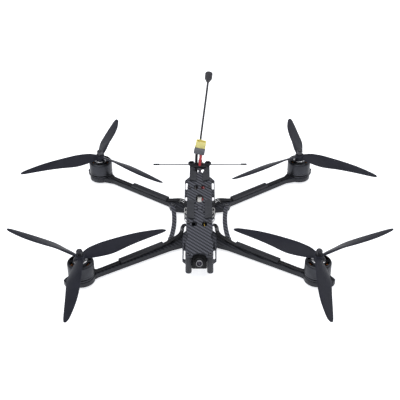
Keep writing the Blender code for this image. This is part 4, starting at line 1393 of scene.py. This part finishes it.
    def _transmitter(self) -> None:
        """The video transmitter: a finned case."""
        case = block("video_case", (30, 34, 6.4), at(0, 66, 16.9), 0.8)
        fins = [block(f"fin_{i}", (1.1, 30, 2.8), at(-12.6 + 2.8 * i, 66, 21.2), 0.2) for i in range(10)]
        body = joined("video_transmitter_case", [case, *fins])
        self.dress(body, Finishes.HEAT_SINK, slot="heat_sink", stands_for=["video_transmitter"])

    def _receiver(self) -> None:
        """The receiver: a bare board with its radio, crystal and shield."""
        board = block("receiver_board", (20, 13, 1.2), at(0, 93.5, 14.6), 0.15)
        self.dress(board, Finishes.BOARD, slot="circuit_board", stands_for=["receiver"])
        chips: list[Block] = [
            ((6, 6, 1.2), (-3, 93.5, 15.8), 0.15),  # radio
            ((2.6, 2.0, 0.9), (4, 95.5, 15.6), 0.15),  # crystal
            ((4.2, 5.0, 1.4), (5.4, 91.5, 15.9), 0.2),  # shield
        ]
        self.dress(blocks("receiver_chips", chips), Finishes.CHIP, slot="circuit_board")

    def _side_plugs(self) -> None:
        """Small white plugs with short wires along both sides of the stack, and a cell amidships."""
        plugs: list[Block] = []
        routes = []
        seats = ((-24.0, 31.2), (-10.0, 30.6), (0.0, 29.8))
        for side in (-1, 1):
            for y, z in seats:
                plugs.append(((2.4, 3.8, 2.6), (side * 17.6, y, z), 0.3))
                bends = (
                    (16.6, y, z + 1), (20.6, y - 1.5, z + 1.8), (21.8, y - 4, z - 1), (18.6, y - 6, z - 5),
                )
                bends_here = [mm(side * x, along, up) for x, along, up in bends]
                routes.append(smooth_route(bends_here, 1.5 * MM))
        self.dress(blocks("side_plugs", plugs), Finishes.CONNECTOR, slot="circuit_board")
        self.dress(wires("side_wires", routes, 0.6, sides=2), Finishes.WHITE_SILICONE)
        cell = block("memory_cell", (6.0, 18.0, 2.8), at(0, 17, 33.6), 0.6)
        self.dress(cell, Finishes.CONNECTOR, slot="circuit_board")

    def _loose_wires(self) -> None:
        """Thin wires between the boards, the camera, the transmitter and the receiver."""
        yellow, white, red, black = (
            Finishes.YELLOW_SILICONE, Finishes.WHITE_SILICONE, Finishes.RED_SILICONE, Finishes.BLACK_SILICONE,
        )
        runs: Sequence[tuple[str, Finish, Sequence[Point]]] = (
            ("video_signal", yellow, (
                (11.0, -0.6, 30), (11.6, 8, 33.4), (8.4, 26, 35.0), (9.6, 44, 31), (8, 52, 24),
            )),
            ("receiver_signal", white, (
                (-10.0, -0.6, 30), (-9.6, 6, 34), (-9.4, 26, 35.4), (-9.8, 50, 33), (-9, 86, 27),
                (-5, 90, 18),
            )),
            ("transmitter_power", red, (
                (12.0, -0.6, 30), (13.2, 9, 32.6), (11.6, 27, 34.4), (11.4, 43, 30), (10, 52, 23),
            )),
            ("camera_video", yellow, (
                (4.2, -105.5, 23), (4.6, -96, 30), (6.0, -80, 33.6), (7.2, -60, 34.4), (6.6, -44, 34),
                (4, -32, 31),
            )),
            ("camera_power", black, (
                (-5, -106.5, 24), (-5, -94, 29), (-4.4, -78, 33), (-5.6, -60, 34), (-5, -42, 33.6),
                (-3, -32, 31),
            )),
        )
        for name, finish, points in runs:
            route = smooth_route([mm(*point) for point in points], 4 * MM)
            self.dress(wires(f"{name}_wire", [route], 0.58, sides=2), finish)


@dataclass
class Camera(SubAssembly):
    """The tilting camera and the printed posts that carry it."""

    pivot: Point = (0.0, -117.0, 24.3)
    tilt: float = 25.0  # degrees, nose up

    def build(self) -> None:
        """Builds the posts and the camera."""
        self.ease(["camera_mount_left", "camera_mount_right"], 0.5, Finishes.PRINTED, "printed")
        tilt = at(*self.pivot) @ turn(-self.tilt, "X")
        forward = tilt @ turn(90, "X")
        shell = block("camera_case", (20.2, 13.4, 19.4), tilt, 1.6)
        barrel_profile = [
            (4.6, 13.6), (6.2, 13.6), (6.8, 13.0), (6.8, 11.4), (6.5, 11.2), (6.5, 10.4), (6.8, 10.2),
            (6.8, 6.0), (4.6, 6.0),
        ]
        barrel = turned("barrel", barrel_profile, forward, ring=True)
        seams = [
            block(f"seam_{i}", (20.4, 0.5, 19.6), tilt @ at(0, y, 0), 0.1) for i, y in enumerate((-1.6, 3.4))
        ]
        body = joined("camera_body", [shell, barrel, *seams])
        self.dress(body, Finishes.CAMERA_SHELL, "camera", "camera_body", ["camera_housing"])
        ring_profile = [
            (2.8, 16.5), (3.3, 17.3), (4.1, 17.4), (4.45, 17.0), (4.5, 16.2), (4.3, 16.0), (4.3, 15.6),
            (4.5, 15.4), (4.5, 13.9), (2.8, 13.9),
        ]
        ring = turned("lens_ring", ring_profile, forward, ring=True)
        self.dress(ring, Finishes.LENS_RING, "camera", "lens", ["camera_lens"])
        dome = [(0, 16.5), (1.2, 16.35), (2.1, 15.9), (2.9, 15.1), (2.9, 13.9), (0, 13.9)]
        glass = turned("lens_glass_dome", dome, forward)
        self.dress(glass, Finishes.LENS_GLASS, "camera", "lens")
        screw = ButtonScrew(radius=1.9, height=1.0, socket=0.85, depth=0.6).head("camera_back_screws")
        corners = [tilt @ at(x, 6.7, z) @ turn(-90, "X") for x in (-7.6, 7.6) for z in (-7.6, 7.6)]
        self.dress(copies(screw, corners), Finishes.SILVER, "camera")


@dataclass
class Aerials(SubAssembly):
    """The tail's printed mount, the cross-tail aerial and the tall video aerial."""

    whip: Sequence[Point] = (
        (0.85, 123.6, 38.0), (0.85, 123.6, 50), (0.95, 123.6, 62), (1.65, 123.6, 77), (4.25, 123.6, 100),
        (7.45, 123.6, 127), (10.45, 123.6, 152), (12.8, 123.6, 173.4),
    )
    rod: Point = (0.5, 118.6, 33.4)
    rod_half: float = 73.5
    cap: float = 9.0
    head_overlap: float = 1.2  # how far the stem goes into the head

    def build(self) -> None:
        """Builds the mount and both aerials."""
        self.ease(["antenna_mount"], 0.4, Finishes.PRINTED, "printed")
        self._cross_tail()
        self._whip()

    def _cross_tail(self) -> None:
        """A thin rod with a thick sleeve at each end and a moulded middle."""
        place = at(*self.rod) @ turn(90, "Y")
        end = self.rod_half
        rod = turned("aerial_rod", [(0, end - 1), (0.95, end - 1), (0.95, 1 - end), (0, 1 - end)], place, 16)
        self.dress(rod, Finishes.PALE_ROD, slot="antenna", stands_for=["t_antenna"])
        sleeve = [
            (0, end), (1.1, end), (1.45, end - 0.5), (1.45, end - self.cap + 0.4),
            (1.0, end - self.cap - 0.6), (0, end - self.cap - 0.6),
        ]
        lower = [(radius, -height) for radius, height in reversed(sleeve)]
        middle = [(0, 4.6), (1.0, 4.6), (1.5, 4.0), (1.5, -4.0), (1.0, -4.6), (0, -4.6)]
        parts = [turned(f"sleeve_{i}", part, place, 20) for i, part in enumerate((sleeve, lower, middle))]
        self.dress(joined("aerial_sleeves", parts), Finishes.AERIAL, slot="antenna")

    def _whip(self) -> None:
        """Connector, flexible stem and capped head."""
        foot = at(self.whip[0][0], self.whip[0][1], 0)
        route = smooth_route([mm(*point) for point in self.whip], 6 * MM)
        stem = settled(wires("whip_stem", [route], 1.6, sides=4))
        along = (route[-1] - route[-2]).normalized()
        lean = math.degrees(math.atan2(along.x, along.z))
        head_profile = [
            (0, 16.4), (4.3, 16.2), (5.0, 15.6), (5.6, 14.4), (5.6, 12.2), (5.4, 12.0), (5.4, 11.5),
            (5.6, 11.3), (5.6, 6.4), (5.2, 5.6), (2.2, 0.2), (1.7, 0), (0, 0),
        ]
        head_foot = Matrix.Translation(route[-1] - along * self.head_overlap * MM)
        head = turned("whip_head", head_profile, head_foot @ turn(lean, "Y"))
        collar = turned("whip_collar", [(0, 39.5), (2.3, 39.5), (3.2, 37.6), (3.2, 34), (0, 34)], foot, 24)
        whip = joined("video_aerial", [stem, head, collar])
        self.dress(whip, Finishes.AERIAL, slot="antenna", stands_for=["whip_antenna"])
        nut = cut_sheet("whip_nut", [circle(3.25, 6), circle(1.0, 12)], 2.0, foot @ at(0, 0, 32.75), 0.2)
        thread = [(0, 34.0), (3.0, 34.0)]
        for i in range(4):
            thread += [(3.1, 33.8 - 0.5 * i), (2.8, 33.5 - 0.5 * i)]
        thread += [(2.8, 31.8), (0, 31.8)]
        socket = joined("aerial_socket", [nut, turned("whip_thread", thread, foot, 24)])
        self.dress(socket, Finishes.GOLD)


@dataclass
class Studio:
    """The camera, the floor and the lights."""

    distance: float = 1.1942  # metres
    azimuth: float = 0.30  # degrees
    elevation: float = 33.722  # degrees
    roll: float = -0.2918  # degrees
    lens: float = 74.126  # millimetres, on a 36 mm sensor
    aim: float = 0.040  # metres above the floor
    shift: Flat = (0.0012, 0.00677)

    def build(self) -> None:
        """Sets up the view, the floor and the light."""
        self._camera()
        self._floor()
        self._lights()

    def _camera(self) -> None:
        """A long lens above and in front of the nose."""
        data = bpy.data.cameras.new("view")
        data.lens = self.lens
        data.sensor_width = 36.0
        data.clip_end = 50.0
        data.shift_x, data.shift_y = self.shift
        camera = new_piece("view", data)
        a, e = math.radians(self.azimuth), math.radians(self.elevation)
        back = Vector((math.sin(a) * math.cos(e), -math.cos(a) * math.cos(e), math.sin(e)))
        camera.location = Vector((0, 0, self.aim)) + back * self.distance
        aim = (-back).to_track_quat("-Z", "Y").to_matrix().to_4x4()
        camera.rotation_euler = (aim @ turn(self.roll, "Z")).to_euler()
        bpy.context.scene.camera = camera

    def _floor(self) -> None:
        """A wide pale floor just under the bottom plate."""
        half, low = 6.0, -0.0002
        corners = [(-half, -half, low), (half, -half, low), (half, half, low), (-half, half, low)]
        floor = mesh_from("studio_floor", corners, [(0, 1, 2, 3)])
        pale = Finishes.FLOOR.material()
        shader = pale.node_tree.nodes["Principled BSDF"]
        shader.inputs["Emission Color"].default_value = (0.97, 0.98, 1.0, 1.0)
        shader.inputs["Emission Strength"].default_value = 0.75
        floor.data.materials.append(pale)

    def _lights(self) -> None:
        """A bright room, a large soft key from above and a weaker fill."""
        world = bpy.data.worlds.new("room")
        world.use_nodes = True
        background = world.node_tree.nodes["Background"]
        background.inputs["Color"].default_value = (0.93, 0.95, 1.0, 1.0)
        background.inputs["Strength"].default_value = 0.50
        bpy.context.scene.world = world
        bpy.context.scene.view_settings.view_transform = "Standard"
        self._area("key", (-0.5, -0.3, 1.6), 1.4, 13.0)
        self._area("fill", (0.9, 0.6, 1.2), 1.2, 6.0)

    @staticmethod
    def _area(name: str, place: Point, size: float, power: float) -> None:
        """A square light that faces the drone."""
        data = bpy.data.lights.new(name, "AREA")
        data.size = size
        data.energy = power
        light = new_piece(name, data)
        light.location = place
        light.rotation_euler = (-Vector(place)).to_track_quat("-Z", "Y").to_euler()


def main() -> None:
    """Builds the view, the cords and then every sub-assembly, and logs their pieces."""
    Studio().build()
    plug = Plug()
    plug.build()
    leads = Leads()
    leads.build(plug)
    parts: list[SubAssembly] = [plug, leads]
    for part in (Plates(), Pads(), Wiring(), Bay(), Camera(), Aerials()):
        part.build()
        parts.append(part)
    for corner in Corner:
        for part in (Motor(corner=corner), Propeller(corner=corner)):
            part.build()
            parts.append(part)
    for part in parts:
        part.report()


if __name__ == "__main__":
    logging.basicConfig(level=logging.INFO, format="%(message)s")
    main()
